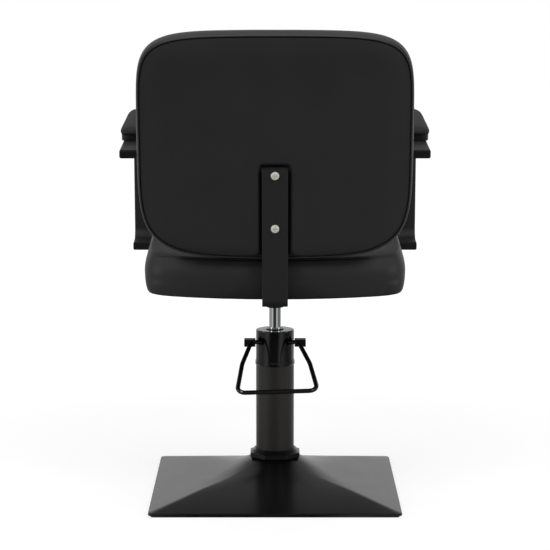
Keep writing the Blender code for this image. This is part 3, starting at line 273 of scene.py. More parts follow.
def lay_gloss_enamel(tree, base):
    """Gloss stove enamel: sharp small highlights, with a slow ripple left by the sprayed coat."""
    ripple = pattern(tree, 4.0, 1.0)
    clouds = pattern(tree, 30.0, 3.0)
    end_finish(tree, base, (clouds, 1.0, 1.0), (clouds, 0.08, 0.14), [(ripple, 0.04, 0.2 * MM)],
               {"IOR": 1.52}, wear=(0.54, 0.64, 2.2))


def lay_chrome(tree, base):
    """Hard chrome on a ground rod: mirror streaks along it, broken slightly by grinding rings."""
    # Grinding rings are microns wide; 0.9 mm bands stand for them.
    rings = pattern(tree, 0.9, 3.0, (0.02, 0.02, 1.0))
    smears = pattern(tree, 9.0, 4.0)
    end_finish(tree, base, (smears, 0.93, 1.0), (rings, 0.03, 0.08), [(rings, 0.03, 0.05 * MM)],
               {"Metallic": 1.0})


def lay_metal(tree, base, metallic, rough_low, rough_high, grain_width):
    """A plated or machined metal: fine scratches and patches of duller plating."""
    scratches = pattern(tree, grain_width, 4.0, (1.0, 0.15, 1.0))
    patches = pattern(tree, 5.0, 3.0)
    end_finish(tree, base, (patches, 0.82, 1.0), (patches, rough_low, rough_high),
               [(scratches, 0.08, 0.05 * MM)], {"Metallic": metallic})


def lay_grained(tree, base, rough_low, rough_high, grain_width):
    """An even matt grain, left on plastic and rubber by the mould and on blackened steel by a salt bath."""
    grain = pattern(tree, grain_width, 3.0)
    clouds = pattern(tree, 25.0, 2.0)
    end_finish(tree, base, (clouds, 0.85, 1.15), (clouds, rough_low, rough_high), [(grain, 0.12, 0.1 * MM)],
               {"IOR": 1.49, "Specular IOR Level": 0.25})


def lay_plywood(tree, base):
    """Plywood stained nearly black: long figure along the board still shows, with darker pores."""
    figure = pattern(tree, 14.0, 5.0, (1.0, 0.06, 1.0), inputs={"Distortion": 0.4})
    pores = pattern(tree, 1.2, 2.0, (1.0, 0.04, 1.0))
    end_finish(tree, base, (figure, 0.72, 1.18), (pores, 0.5, 0.7), [(pores, 0.15, 0.1 * MM)], {"IOR": 1.45})


# Each material's recipe, its colour and the values that the recipe takes after these
FINISHES = {
    "pvc_upholstery_leather": (lay_vinyl, "vinyl", 0.46, 0.56, 0.29),
    # Elbows have rubbed the gloss off the arm pads.
    "rubbed_pvc_leather": (lay_vinyl, "vinyl", 0.66, 0.76, 0.22),
    "satin_powder_coat": (lay_powder_coat, "powder", 0.20, 0.27),
    "matt_powder_coat": (lay_powder_coat, "matt", 0.50, 0.60),
    "satin_stove_enamel": (lay_tube_enamel, "tube"),
    "gloss_stove_enamel": (lay_gloss_enamel, "enamel"),
    "black_oxide_steel": (lay_grained, "oxide", 0.42, 0.55, 0.7),
    "ground_hard_chrome": (lay_chrome, "chrome"),
    "zinc_flake_steel": (lay_metal, "zinc", 0.45, 0.36, 0.50, 0.6),
    "turned_steel": (lay_metal, "steel", 1.0, 0.25, 0.4, 0.5),
    "cast_bronze": (lay_metal, "bronze", 1.0, 0.3, 0.45, 0.6),
    "moulded_polypropylene": (lay_grained, "plastic", 0.45, 0.58, 0.8),
    "polyurethane_rubber": (lay_grained, "rubber", 0.14, 0.22, 0.9),
    "stained_plywood": (lay_plywood, "plywood"),
}


def finish(name):
    """A material of the chair, made when it is first asked for."""
    material = bpy.data.materials.get(name)
    if material is None:
        recipe, shade, *values = FINISHES[name]
        material, tree = new_material(name)
        recipe(tree, tuple(getattr(colours(), shade)), *values)
    return material


# Upholstery shapes

OUTLINE_SAMPLES = 600       # on each side, before the points are spaced evenly
CURVE_SAMPLES = 12          # between two points of a profile, likewise


def outline_loop(half_x, reaches, powers, bows, half_steps):
    """Eight times half_steps points round an outline, even along each side, from its lower right corner."""
    sides = []
    for side in range(4):
        turn = np.radians(np.linspace(-45.0, 45.0, OUTLINE_SAMPLES) + 90.0 * side)
        c, s = np.cos(turn), np.sin(turn)
        upper = s >= 0.0
        power = np.where(upper, powers[0], powers[1])
        x = np.sign(c) * np.abs(c) ** (2.0 / power)
        y = np.sign(s) * np.abs(s) ** (2.0 / power)
        bow = np.where(upper, bows[0], bows[1])
        points = np.stack([half_x * x, np.where(upper, reaches[0], reaches[1]) * y * (1.0 - bow * x * x)], 1)
        run = np.concatenate([[0.0], np.cumsum(np.linalg.norm(np.diff(points, axis=0), axis=1))])
        even = np.linspace(0.0, run[-1], 2 * half_steps + 1)[:-1]
        sides.append(np.stack([np.interp(even, run, points[:, k]) for k in (0, 1)], 1))
    return np.concatenate(sides)


def ring_index(i, j):
    """Ring of a square grid and the place along it, for the cell corner i, j from the middle."""
    r = max(abs(i), abs(j))
    if i == r and j > -r:
        return r, j + r
    if j == r:
        return r, 3 * r - i
    if i == -r:
        return r, 5 * r - j
    return r, (7 * r + i) % (8 * r) if r else 0


class Shell:
    """Collects the points and faces of a cover that is closed by square-gridded panels."""

    def __init__(self, half_steps):
        self.half = half_steps
        self.points = []
        self.faces = []

    def panel(self, loop_at, height_at, middle, flip):
        """A gridded panel: loop_at and height_at give its outline and height at a share of the way out from
        the middle. Returns its edge."""
        n = self.half
        loops = [loop_at(r / n) for r in range(n + 1)]
        start = len(self.points)
        index = {}
        edge = [None] * (8 * n)
        for j in range(-n, n + 1):
            for i in range(-n, n + 1):
                r, along = ring_index(i, j)
                share = r / n
                if r:
                    at = along * n / r
                    k = int(at)
                    loop = loops[r]
                    p = loop[k % (8 * n)] * (1.0 - at + k) + loop[(k + 1) % (8 * n)] * (at - k)
                    flat = middle + share * (p - middle)
                else:
                    flat = middle
                index[i, j] = start + len(index)
                if r == n:
                    edge[along] = index[i, j]
                self.points.append((flat[0], flat[1], height_at(share)))
        for j in range(-n, n):
            for i in range(-n, n):
                quad = [index[i, j], index[i + 1, j], index[i + 1, j + 1], index[i, j + 1]]
                self.faces.append(quad[::-1] if flip else quad)
        return edge

    def ring(self, loop, height):
        """A closed row of points at one height."""
        start = len(self.points)
        self.points += [(x, y, height) for x, y in loop]
        return list(range(start, start + len(loop)))

    def wall(self, upper, lower):
        """Faces between two closed rows."""
        count = len(upper)
        for k in range(count):
            m = (k + 1) % count
            self.faces.append([upper[k], lower[k], lower[m], upper[m]])

    def extend(self, upper, loop, height):
        """A row of points, joined to the one above. Returns it."""
        lower = self.ring(loop, height)
        self.wall(upper, lower)
        return lower

    def close(self, edge, loop, height, middle, flip=True):
        """A flat panel that closes the cover inside an edge. Returns its points."""
        first = len(self.points)
        inner = self.panel(lambda share: loop, lambda share: height, middle, flip)
        self.wall(*((edge, inner) if flip else (inner, edge)))
        return list(range(first, len(self.points)))


def smooth_path(points, count):
    """Points spaced evenly along a smooth curve through the given ones."""
    p = np.array(points, float)
    ends = np.concatenate([[2 * p[0] - p[1]], p, [2 * p[-1] - p[-2]]])
    curve = []
    for k in range(1, len(ends) - 2):
        a, b, c, d = ends[k - 1:k + 3]
        for t in np.linspace(0.0, 1.0, CURVE_SAMPLES, endpoint=False):
            curve.append(0.5 * (2 * b + (c - a) * t + (2 * a - 5 * b + 4 * c - d) * t * t
                                + (3 * b - a - 3 * c + d) * t ** 3))
    curve = np.array(curve + [p[-1]])
    run = np.concatenate([[0.0], np.cumsum(np.linalg.norm(np.diff(curve, axis=0), axis=1))])
    even = np.linspace(0.0, run[-1], count)
    return list(zip(*(np.interp(even, run, column) for column in curve.T)))


def make_object(name, shell, matrix, material):
    """A smooth-shaded object of a shell's points, moved by a matrix."""
    mesh = bpy.data.meshes.new(name)
    mesh.from_pydata([matrix @ Vector(p) for p in shell.points], [], shell.faces)
    mesh.update()
    mesh.polygons.foreach_set("use_smooth", [True] * len(mesh.polygons))
    mesh.materials.append(material)
    piece = bpy.data.objects.new(name, mesh)
    bpy.context.scene.collection.objects.link(piece)
    return piece


def stuff(piece, held, pressure, cap):
    """Swells a cover between the points that are held, by at most cap, and keeps the result as plain mesh."""
    scene = bpy.context.scene
    before = np.empty(len(piece.data.vertices) * 3, np.float32)
    piece.data.vertices.foreach_get("co", before)
    group = piece.vertex_groups.new(name="held")
    group.add(sorted(held), 1.0, "REPLACE")
    cloth = piece.modifiers.new("stuffing", "CLOTH")
    vinyl = cloth.settings
    vinyl.quality = 5
    vinyl.mass = 0.3
    vinyl.tension_stiffness = 15.0
    vinyl.compression_stiffness = 15.0
    vinyl.bending_stiffness = 1.5
    vinyl.use_pressure = True
    vinyl.uniform_pressure_force = pressure
    vinyl.vertex_group_mass = "held"
    vinyl.effector_weights.gravity = 0.0
    cloth.collision_settings.use_collision = False
    cloth.point_cache.frame_start = 1
    cloth.point_cache.frame_end = studio().sim_frames
    for step in range(1, studio().sim_frames + 1):
        scene.frame_set(step)
    swollen = piece.evaluated_get(bpy.context.evaluated_depsgraph_get())
    after = np.empty_like(before)
    swollen.data.vertices.foreach_get("co", after)
    piece.modifiers.remove(cloth)
    piece.vertex_groups.remove(group)
    scene.frame_set(1)
    move = (after - before).reshape(-1, 3)
    far = np.maximum(np.linalg.norm(move, axis=1, keepdims=True), 1e-9)
    move *= cap * np.tanh(far / cap) / far
    piece.data.vertices.foreach_set("co", before + move.ravel())
    piece.data.update()


def upholster(piece, held, node, pressure, cap):
    """Swells a cover, rounds it off and puts it in place of its solid."""
    stuff(piece, held, pressure, cap)
    smooth = piece.modifiers.new("rounding", "SUBSURF")
    smooth.levels = 1
    smooth.render_levels = 1
    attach(piece, "seat")
    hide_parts(node)


def tilt_matrix():
    """From the seat's level frame to the chair."""
    pivot = Matrix.Translation((0.0, 0.0, sizes().seat_pivot))
    return pivot @ Matrix.Rotation(-sizes().seat_tilt, 4, "X") @ pivot.inverted()


def lean_matrix():
    """From the backrest's frame (across, up its slope, forward) to the chair."""
    s = sizes()
    up = Vector((0.0, math.sin(s.back_recline), math.cos(s.back_recline)))
    forward = Vector((0.0, -math.cos(s.back_recline), math.sin(s.back_recline)))
    turn = Matrix((Vector((1.0, 0.0, 0.0)), up, forward)).transposed().to_4x4()
    return Matrix.Translation((0.0, s.back_y, s.back_z)) @ turn


# Cells from the middle of a cover's panel to its edge
SEAT_STEPS = 34
BACK_STEPS = 32
PAD_STEPS = 14
POCKET_GAP = 0.3 * MM       # between a cover and the board in its pocket
HEM = 1.0 * MM              # from a cover's edge to the flat panel that closes it
HELD_ROWS = 2               # rows of points beside a seam that don't swell

# Side of the seat, from its lower edge to the sewn edge on top: shares of the board's inset and of the height
SEAT_SIDE = ((0.66, 0.012), (0.46, 0.06), (0.30, 0.16), (0.13, 0.34), (0.03, 0.52), (0.03, 0.68),
             (0.13, 0.84), (0.30, 0.98), (0.47, 1.09), (0.62, 1.19), (0.74, 1.25))
# From the sewn edge to where the top is nearly flat: millimetres from the outline, share of the crown
SEAT_SHOULDER = ((12.0, 0.80), (17.0, 0.855), (25.0, 0.90), (40.0, 0.94))
# The sewn edge, drawn in by its thread: millimetres inwards and up
SEAT_THREAD = ((1.0, 1.0), (1.7, -1.1), (-0.6, -1.3))
SEAT_ROWS = (11, 24)        # rows of points on the shoulder and on the side
SEAT_POWER = 9.0            # squareness of the outline: 2 is an ellipse
SEAT_SOFTER = (0.8, 2.5)    # how much less square the top is at its edge, and what its middle adds to that
SEAT_SQUARER = 6.0          # how much squarer the underside is
SEAT_BOWS = (0.15, 0.0)     # share of its reach by which the rear and the front edge fall back at the corners


def seat_loop(inset, shift=0.0):
    """Outline of the seat at that inset, made less square by shift."""
    s = sizes()
    reaches = (s.seat_rear - inset, s.seat_front - inset)
    power = SEAT_POWER - shift
    return outline_loop(s.seat_half_width - inset, reaches, (power, power), SEAT_BOWS, SEAT_STEPS)


def build_seat_cushion(material):
    """Cover of the seat: a boxed side, a sewn edge, a crowned top and a pocket for the board below."""
    s = sizes()
    tall = s.seat_seam - s.seat_low
    side = [(draw * s.board_inset, s.seat_low + tall * share) for draw, share in SEAT_SIDE]
    shoulder = side[-1:] + [(draw * MM, s.seat_seam + share * s.seat_crown) for draw, share in SEAT_SHOULDER]
    middle = np.array([0.0, (s.seat_rear - s.seat_front) / 2.0])
    top_inset, top_z = shoulder[-1]
    softer, middle_softer = SEAT_SOFTER

    def top_loop(share):
        return seat_loop(top_inset, softer + middle_softer * (1.0 - share))

    def top_height(share):
        return top_z + (s.seat_seam + s.seat_crown - top_z) * (1.0 - share ** 2)

    shell = Shell(SEAT_STEPS)
    upper = shell.panel(top_loop, top_height, middle, False)
    held = []
    rows = smooth_path(shoulder[::-1], SEAT_ROWS[0])[1:]
    inset, z = rows.pop()
    seam_row = len(rows) + 1
    rows += [(inset + inwards * MM, z + up * MM) for inwards, up in SEAT_THREAD]
    rows += smooth_path(side[::-1], SEAT_ROWS[1])[1:]
    for row, (inset, z) in enumerate(rows):
        low = min(max((s.seat_low + 0.5 * tall - z) / (0.5 * tall), 0.0), 1.0)
        upper = shell.extend(upper, seat_loop(inset, softer * inset / top_inset - SEAT_SQUARER * low), z)
        if abs(row - seam_row) <= HELD_ROWS or row == len(rows) - 1:
            held += upper
    wall = s.board_inset - POCKET_GAP
    roof = s.seat_low + s.board_thickness
    for z in (s.seat_low, roof):
        upper = shell.extend(upper, seat_loop(wall), z)
        held += upper
    held += shell.close(upper, seat_loop(wall + HEM), roof, middle)
    piece = make_object("seat_upholstery", shell, tilt_matrix(), material)
    upholster(piece, held, "seat_cushion", pressure=2.5, cap=2.4 * MM)


BACK_SEAM = 4.5 * MM        # how far the seams are drawn in
# Side of the backrest, from its rear edge to the front seam: shares of the seam's inset and of the thickness
BACK_SIDE = ((1.0, 0.003), (0.75, 0.017), (0.33, 0.10), (0.09, 0.27), (0.0, 0.50), (0.31, 0.76), (1.07, 0.93),
             (1.60, 0.985), (2.0, 0.95))
# Rise of the front panel: share of the way in from its seam, share of the crown
BACK_RISES = ((0.0, 0.012, 0.035, 0.10, 0.25, 0.45, 0.72, 1.0),
              (-0.15, 0.12, 0.30, 0.55, 0.80, 0.93, 0.99, 1.0))
BACK_ROWS = 20              # rows of points on the side
BACK_POWERS = (6.2, 5.15)   # squareness of the upper and the lower half
BACK_SOFTER = 1.6           # how much less square the front panel's middle is
BACK_BOWS = (0.03, 0.05)    # share of its reach by which the upper and lower edge fall back at the corners
FRONT_GAP = 0.8 * MM        # from the seam to the front panel
POCKET_LIP = 1.5 * MM       # where the cover turns into the pocket for the rear panel


def back_loop(inset, shift=0.0):
    """Outline of the backrest at that inset, made less square by shift."""
    s = sizes()
    reaches = (s.back_height - s.back_waist - inset, s.back_waist - inset)
    powers = (BACK_POWERS[0] - 2.0 * shift, BACK_POWERS[1] - shift)
    loop = outline_loop(s.back_half_width - inset, reaches, powers, BACK_BOWS, BACK_STEPS)
    return loop + np.array([0.0, s.back_waist])


def build_back_cushion(material):
    """Cover of the backrest: a crowned front, a boxed side and a pocket for the rear panel."""
    s = sizes()
    side = [(draw * BACK_SEAM, s.back_thickness * share) for draw, share in BACK_SIDE]
    seam_inset = side[-1][0]
    middle = np.array([0.0, s.back_height / 2.0])

    def front_loop(share):
        return back_loop(seam_inset + FRONT_GAP, BACK_SOFTER * (1.0 - share))

    def front_height(share):
        return s.back_thickness + s.back_crown * float(np.interp(1.0 - share, *BACK_RISES))

    shell = Shell(BACK_STEPS)
    upper = shell.panel(front_loop, front_height, middle, False)
    held = list(upper)
    rows = smooth_path(side[::-1], BACK_ROWS)
    for row, (inset, z) in enumerate(rows):
        upper = shell.extend(upper, back_loop(inset), z)
        if row < HELD_ROWS or row >= len(rows) - HELD_ROWS:
            held += upper
    wall = s.panel_inset - POCKET_GAP
    floor = s.panel_thickness + POCKET_GAP
    for z in (POCKET_LIP, floor):
        upper = shell.extend(upper, back_loop(wall), z)
        held += upper
    held += shell.close(upper, back_loop(wall + HEM), floor, middle)
    piece = make_object("backrest_upholstery", shell, lean_matrix(), material)
    upholster(piece, held, "backrest_cushion", pressure=2.5, cap=4.0 * MM)


# The rear panel's foam rolls forward at its rim.
ROLL_DEPTH = 4.0 * MM
ROLL_WIDTH = 22.0 * MM
RIM_DEPTH = 4.4 * MM
RIM_INSET = 0.4 * MM
PANEL_SOFTER = 0.6          # how much less square its middle is
# The bar presses a crease into it, and the foam swells to a lip round that.
CREASE_DEPTH = 8.0 * MM
CREASE_BESIDE = 3.4 * MM
CREASE_ABOVE = 6.0 * MM
UNDER_BAR = 3.0 * MM        # how far under the bar the crease goes
BAR_PRESS = 1.0 * MM        # how deep the rest of the bar presses
LIP_HEIGHT = 1.6 * MM
LIP_OUT = 9.0 * MM
LIP_WIDTH = 7.0 * MM
HELD_BY_BAR = 25.0 * MM     # nearer to the bar than this the foam doesn't swell
# The grid is gathered there: distances from the bar's edge that are between these limits go to GATHER_TO.
GATHER_BESIDE = (-12.0 * MM, 26.0 * MM)
GATHER_ABOVE = (-19.0 * MM, 19.0 * MM)
GATHER_TO = (-1.5 * MM, 7.5 * MM)
GATHER_REACH = 90.0 * MM
GATHER_END = 70.0 * MM      # past a corner of the bar it fades out, up to this distance
GATHER_FADE = 45.0 * MM     # length of that
GATHER_MIDDLE = 8.0 * MM    # nearer to the middle line it fades out too


def from_bar(x, y):
    """How far a point of the rear panel is beside the bar that is bolted to it, and above its end."""
    return abs(x) - sizes().bar_half_width, y - sizes().bar_top


def gather(value, wide):
    """Moves a distance from the bar's edge closer to it, if it is between the wide limits."""
    limits = [-GATHER_REACH, *wide, GATHER_REACH]
    return float(np.interp(value, limits, [-GATHER_REACH, *GATHER_TO, GATHER_REACH]))


def gather_by_bar(x, y):
    """Moves a point of the panel's grid so that the crease round the bar has enough of them."""
    side = math.copysign(1.0, x)
    beside, above = from_bar(x, y)
    over = min(max((GATHER_END - above) / GATHER_FADE, 0.0), 1.0)
    across = min(max((GATHER_END - beside) / GATHER_FADE, 0.0), 1.0)
    if beside < GATHER_REACH:
        off_middle = min(abs(x) / GATHER_MIDDLE, 1.0)
        x = side * (abs(x) + over * (gather(beside, GATHER_BESIDE) - beside) * off_middle)
    if abs(above) < GATHER_REACH:
        y += across * (gather(above, GATHER_ABOVE) - above)
    return x, y


def build_rear_panel(material):
    """The vinyl-covered board behind the backrest: thin foam rolls over its edge, and the bar creases it."""
    s = sizes()
    middle = np.array([0.0, s.back_height / 2.0])
    shell = Shell(BACK_STEPS)
    held = []

    def face_height(share):
        near = (1.0 - share) * s.back_half_width
        return ROLL_DEPTH * max(0.0, 1.0 - near / ROLL_WIDTH) ** 2.0

    edge = shell.panel(lambda share: back_loop(s.panel_inset + RIM_INSET, PANEL_SOFTER * (1.0 - share)),
                       face_height, middle, True)
    rim = set(edge)
    for k, (x, y, z) in enumerate(shell.points):
        if k in rim:
            continue
        x, y = gather_by_bar(x, y)
        beside, above = from_bar(x, y)
        inside = min(max(beside, above), 0.0)
        beside, above = max(beside, 0.0), max(above, 0.0)
        out = math.hypot(beside, above) + inside
        fall = -(beside / CREASE_BESIDE) ** 2 - (above / CREASE_ABOVE) ** 2
        crease = CREASE_DEPTH * math.exp(fall) if out > -UNDER_BAR else BAR_PRESS
        lip = LIP_HEIGHT * math.exp(-((out - LIP_OUT) / LIP_WIDTH) ** 2)
        shell.points[k] = (x, y, z + crease - lip)
        if out < HELD_BY_BAR:
            held.append(k)
    held += edge
    outer = shell.ring(back_loop(s.panel_inset), RIM_DEPTH)
    inner = shell.ring(back_loop(s.panel_inset), s.panel_thickness)
    shell.wall(outer, edge)
    shell.wall(inner, outer)
    held += outer + inner
    held += shell.close(inner, back_loop(s.panel_inset + HEM), s.panel_thickness, middle, False)
    piece = make_object("rear_panel_upholstery", shell, lean_matrix(), material)
    upholster(piece, held, "backrest_panel", pressure=1.5, cap=1.2 * MM)


# Side of an arm pad, from its underside up: share of the half width, share of the height
PAD_SIDE = ((0.13, 0.0), (0.04, 0.06), (0.0, 0.22), (0.02, 0.42), (0.10, 0.64), (0.25, 0.82), (0.44, 0.925))
PAD_ROWS = 14               # rows of points on the side
PAD_POWER = 7.0             # squareness of its outline
PAD_SOFTER = 0.6            # how much less square the top is


def build_arm_pad(side, sign, material):
    """Cover of an arm pad: a flat underside and one crowned form above it."""
    s = sizes()
    middle = np.array([sign * s.pad_x, s.pad_y])

    def pad_loop(inset, shift=0.0):
        reach = s.pad_half_length - inset
        power = PAD_POWER - shift
        return outline_loop(s.pad_half_width - inset, (reach, reach), (power, power), (0.0, 0.0),
                            PAD_STEPS) + middle

    profile = [(draw * s.pad_half_width, s.pad_low + s.pad_height * share) for draw, share in PAD_SIDE]
    top_inset, top_z = profile[-1]

    def top_height(share):
        return top_z + (s.pad_low + s.pad_height - top_z) * (1.0 - share ** 2.2)

    shell = Shell(PAD_STEPS)
    upper = shell.panel(lambda share: pad_loop(top_inset, PAD_SOFTER), top_height, middle, False)
    for inset, z in smooth_path(profile[::-1], PAD_ROWS)[1:]:
        upper = shell.extend(upper, pad_loop(inset, PAD_SOFTER * inset / top_inset), z)
    held = upper + shell.close(upper, pad_loop(profile[0][0] + HEM), s.pad_low, middle)
    piece = make_object(side + "_arm_pad_upholstery", shell, tilt_matrix(), material)
    upholster(piece, held, side + "_arm_pad", pressure=2.0, cap=1.5 * MM)


# Spring under the plunger's head

SPRING_TURNS = 4
SPRING_WIRE = 0.7 * MM
TURN_STEPS = 24
WIRE_SIDES = 10


def build_plunger_spring(material):
    """The coil that lifts the plunger, wound from the bottom to the top of its solid's box."""
    low, high = (Vector(corner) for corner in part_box("plunger_spring"))
    axis = (low + high) / 2.0
    radius = (high.x - low.x) / 2.0 - SPRING_WIRE
    first, last = low.z + SPRING_WIRE, high.z - SPRING_WIRE
    count = SPRING_TURNS * TURN_STEPS
    coil = Shell(0)
    rings = []
    for step in range(count + 1):
        turn = 2.0 * math.pi * step / TURN_STEPS
        rise = first + (last - first) * step / count
        rings.append(list(range(len(coil.points), len(coil.points) + WIRE_SIDES)))
        for side in range(WIRE_SIDES):
            around = 2.0 * math.pi * side / WIRE_SIDES
            out = radius + SPRING_WIRE * math.cos(around)
            coil.points.append((axis.x + out * math.cos(turn), axis.y + out * math.sin(turn),
                                rise + SPRING_WIRE * math.sin(around)))
    for before, after in zip(rings, rings[1:]):
        coil.wall(before, after)
    coil.faces += [rings[0], rings[-1][::-1]]
    piece = make_object("plunger_return_spring", coil, Matrix.Identity(4), material)
    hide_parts("plunger_spring")
    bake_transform(piece)


# Solids that stay

MERGE_DISTANCE = 0.01 * MM
SMOOTH_BELOW = math.radians(32.0)       # faces that meet at less than this shade as one
ROUND_ABOVE = math.radians(35.0)        # edges sharper than this are rounded
COATED_EDGE = 0.35 * MM                 # width of the rounding on coated pieces
MOULDED_EDGE = 0.2 * MM
PLATED_EDGE = 0.15 * MM

# Solids whose finish isn't that of the others with their slot
BASE = ("base_cover", "base_lock_nut")
TUBE = ("pump_outer_tube",)
BLOCKS = ("left_pedal_block", "right_pedal_block")


def rounding_group():
    """Joins the faces of an imported solid, so that its edges can be rounded and its curves shade smooth."""
    tree = bpy.data.node_groups.new("join_and_smooth", "GeometryNodeTree")
    tree.is_modifier = True
    tree.interface.new_socket("Geometry", in_out="INPUT", socket_type="NodeSocketGeometry")
    tree.interface.new_socket("Geometry", in_out="OUTPUT", socket_type="NodeSocketGeometry")
    source = add_node(tree, "NodeGroupInput").outputs[0]
    plain = add_node(tree, "GeometryNodeRemoveAttribute", {"Geometry": source, "Name": "custom_normal"})
    joined = add_node(tree, "GeometryNodeMergeByDistance",
                      {"Geometry": plain.outputs[0], "Distance": MERGE_DISTANCE})
    bend = add_node(tree, "GeometryNodeInputMeshEdgeAngle").outputs["Unsigned Angle"]
    soft = add_node(tree, "FunctionNodeCompare", {"A": bend, "B": SMOOTH_BELOW}, operation="LESS_THAN")
    faces = add_node(tree, "GeometryNodeSetShadeSmooth",
                     {"Geometry": joined.outputs[0], "Shade Smooth": True}, domain="FACE")
    edges = add_node(tree, "GeometryNodeSetShadeSmooth", {"Geometry": faces.outputs[0],
                                                          "Shade Smooth": soft.outputs[0]}, domain="EDGE")
    add_node(tree, "NodeGroupOutput", {0: edges.outputs[0]})
    return tree


def dress(names, material, edge=0.0):
    """Gives solids a finish and rounds their sharp edges."""
    group = bpy.data.node_groups.get("join_and_smooth") or rounding_group()
    for name in names:
        node = frame["nodes"][name]
        for slot in node.material_slots:
            slot.material = material
        node.modifiers.new("join", "NODES").node_group = group
        if edge:
            bevel = node.modifiers.new("edges", "BEVEL")
            bevel.width = edge
            bevel.segments = 2
            bevel.limit_method = "ANGLE"
            bevel.angle_limit = ROUND_ABOVE
            bevel.use_clamp_overlap = True
        # Large faces keep their own normals, so that a chamfer doesn't bend the reflections beside it.
        shade = node.modifiers.new("shading", "WEIGHTED_NORMAL")
        shade.keep_sharp = True


def nodes_of(slot, but=()):
    """Solids that carry a slot of the record, apart from some."""
    rows = frame["record"]["subparts"]
    return sorted(row["node"] for row in rows if row["material_slot"] == slot and row["node"] not in but)


class CHAIR_OT_frame(bpy.types.Operator):
    """Finish the coated steel: the base, the back bracket, the arms and the plates"""
    bl_idname = "chair.frame"
    bl_label = "Base and frame"

    def execute(self, context):
        dress(BASE, finish("satin_powder_coat"), COATED_EDGE)
        dress(nodes_of("powder_coat", BASE + TUBE), finish("matt_powder_coat"), COATED_EDGE)
        return {"FINISHED"}


class CHAIR_OT_pump(bpy.types.Operator):
    """Finish the pump with its pedal and its ram, outside and inside"""
    bl_idname = "chair.pump"
    bl_label = "Pump and pedal"

    def execute(self, context):
        dress(TUBE, finish("satin_stove_enamel"))
        dress(nodes_of("gloss_enamel", BLOCKS), finish("gloss_stove_enamel"), COATED_EDGE)
        dress(BLOCKS, finish("black_oxide_steel"), COATED_EDGE)
        dress(nodes_of("chrome"), finish("ground_hard_chrome"))
        dress(nodes_of("rubber"), finish("polyurethane_rubber"))
        dress(nodes_of("steel"), finish("turned_steel"))
        dress(nodes_of("bronze"), finish("cast_bronze"))
        return {"FINISHED"}


class CHAIR_OT_fasteners(bpy.types.Operator):
    """Finish the plated screws and bolts"""
    bl_idname = "chair.fasteners"
    bl_label = "Screws and bolts"

    def execute(self, context):
        dress(nodes_of("zinc"), finish("zinc_flake_steel"), PLATED_EDGE)
        return {"FINISHED"}


class CHAIR_OT_seat(bpy.types.Operator):
    """Finish the seat's board and make its cover"""
    bl_idname = "chair.seat"
    bl_label = "Seat"

    def execute(self, context):
        dress(nodes_of("plywood"), finish("stained_plywood"))
        build_seat_cushion(finish("pvc_upholstery_leather"))
        return {"FINISHED"}


class CHAIR_OT_backrest(bpy.types.Operator):
    """Make the backrest's cover and its rear panel"""
    bl_idname = "chair.backrest"
    bl_label = "Backrest"

    def execute(self, context):
        build_back_cushion(finish("pvc_upholstery_leather"))
        build_rear_panel(finish("pvc_upholstery_leather"))
        return {"FINISHED"}


class CHAIR_OT_arm_pads(bpy.types.Operator):
    """Finish the end plugs and the bases of the arm pads, and make the pads' covers"""
    bl_idname = "chair.arm_pads"
    bl_label = "Arm pads and plugs"

    def execute(self, context):
        dress(nodes_of("plastic"), finish("moulded_polypropylene"), MOULDED_EDGE)
        build_arm_pad("left", 1.0, finish("rubbed_pvc_leather"))
        build_arm_pad("right", -1.0, finish("rubbed_pvc_leather"))
        return {"FINISHED"}


class CHAIR_OT_spring(bpy.types.Operator):
    """Make the spring that lifts the plunger"""
    bl_idname = "chair.spring"
    bl_label = "Plunger spring"

    def execute(self, context):
        build_plunger_spring(finish("turned_steel"))
        return {"FINISHED"}


# Studio

class CHAIR_OT_stage(bpy.types.Operator):
    """Make the floor, the lights and the camera"""
    bl_idname = "chair.stage"
    bl_label = "Studio"

    def execute(self, context):
        build_floor()
        build_world()
        build_lights()
        build_camera()
        context.scene.view_settings.view_transform = "Standard"
        return {"FINISHED"}


PICTURE_WIDTH = 550.0       # pixels
SENSOR = 36.0               # millimetres
WHITE = (1.0, 1.0, 1.0, 1.0)
FLOOR_SIZE = 30.0
FLOOR_DROP = 0.5 * MM       # below the base, so that the two don't share a plane
# How bright the room looks in shiny surfaces, by direction: degrees from behind the chair, towards its left
ROOM = ((-180.0, 0.76), (-150.0, 0.90), (-132.0, 0.60), (-98.0, 0.17), (-72.0, 0.12), (-50.0, 0.38),
        (-30.0, 0.70), (-17.0, 0.05), (0.0, 0.02), (24.0, 0.03), (32.0, 0.12), (44.0, 0.60), (54.0, 0.62),
        (72.0, 0.34), (98.0, 0.34), (132.0, 0.45), (150.0, 0.90), (180.0, 0.76))
ROOM_LEAST = 0.3            # above the floor no side of the room is darker
# The same for the paper that the chair stands on, by distance in metres from the chair's middle
PAPER = ((0.0, 0.15), (0.8, 0.15), (1.1, 0.8), (1.4, 0.8), (1.6, 0.04), (4.0, 0.0))
# Share of that for the room, by the height of the direction: white backdrop, a gap above it, then the ceiling
SKY = ((0.0, 1.0), (0.38, 1.0), (0.48, 0.40), (0.66, 0.55), (0.80, 0.40), (1.0, 0.30))


def ray_kinds(tree):
    """1 for camera rays, and 1 for rays mirrored or passed on by a surface."""
    path = add_node(tree, "ShaderNodeLightPath")
    shiny = add_node(tree, "ShaderNodeMath", {0: path.outputs["Is Glossy Ray"],
                                              1: path.outputs["Is Transmission Ray"]}, operation="MAXIMUM")
    return path.outputs["Is Camera Ray"], shiny.outputs[0]


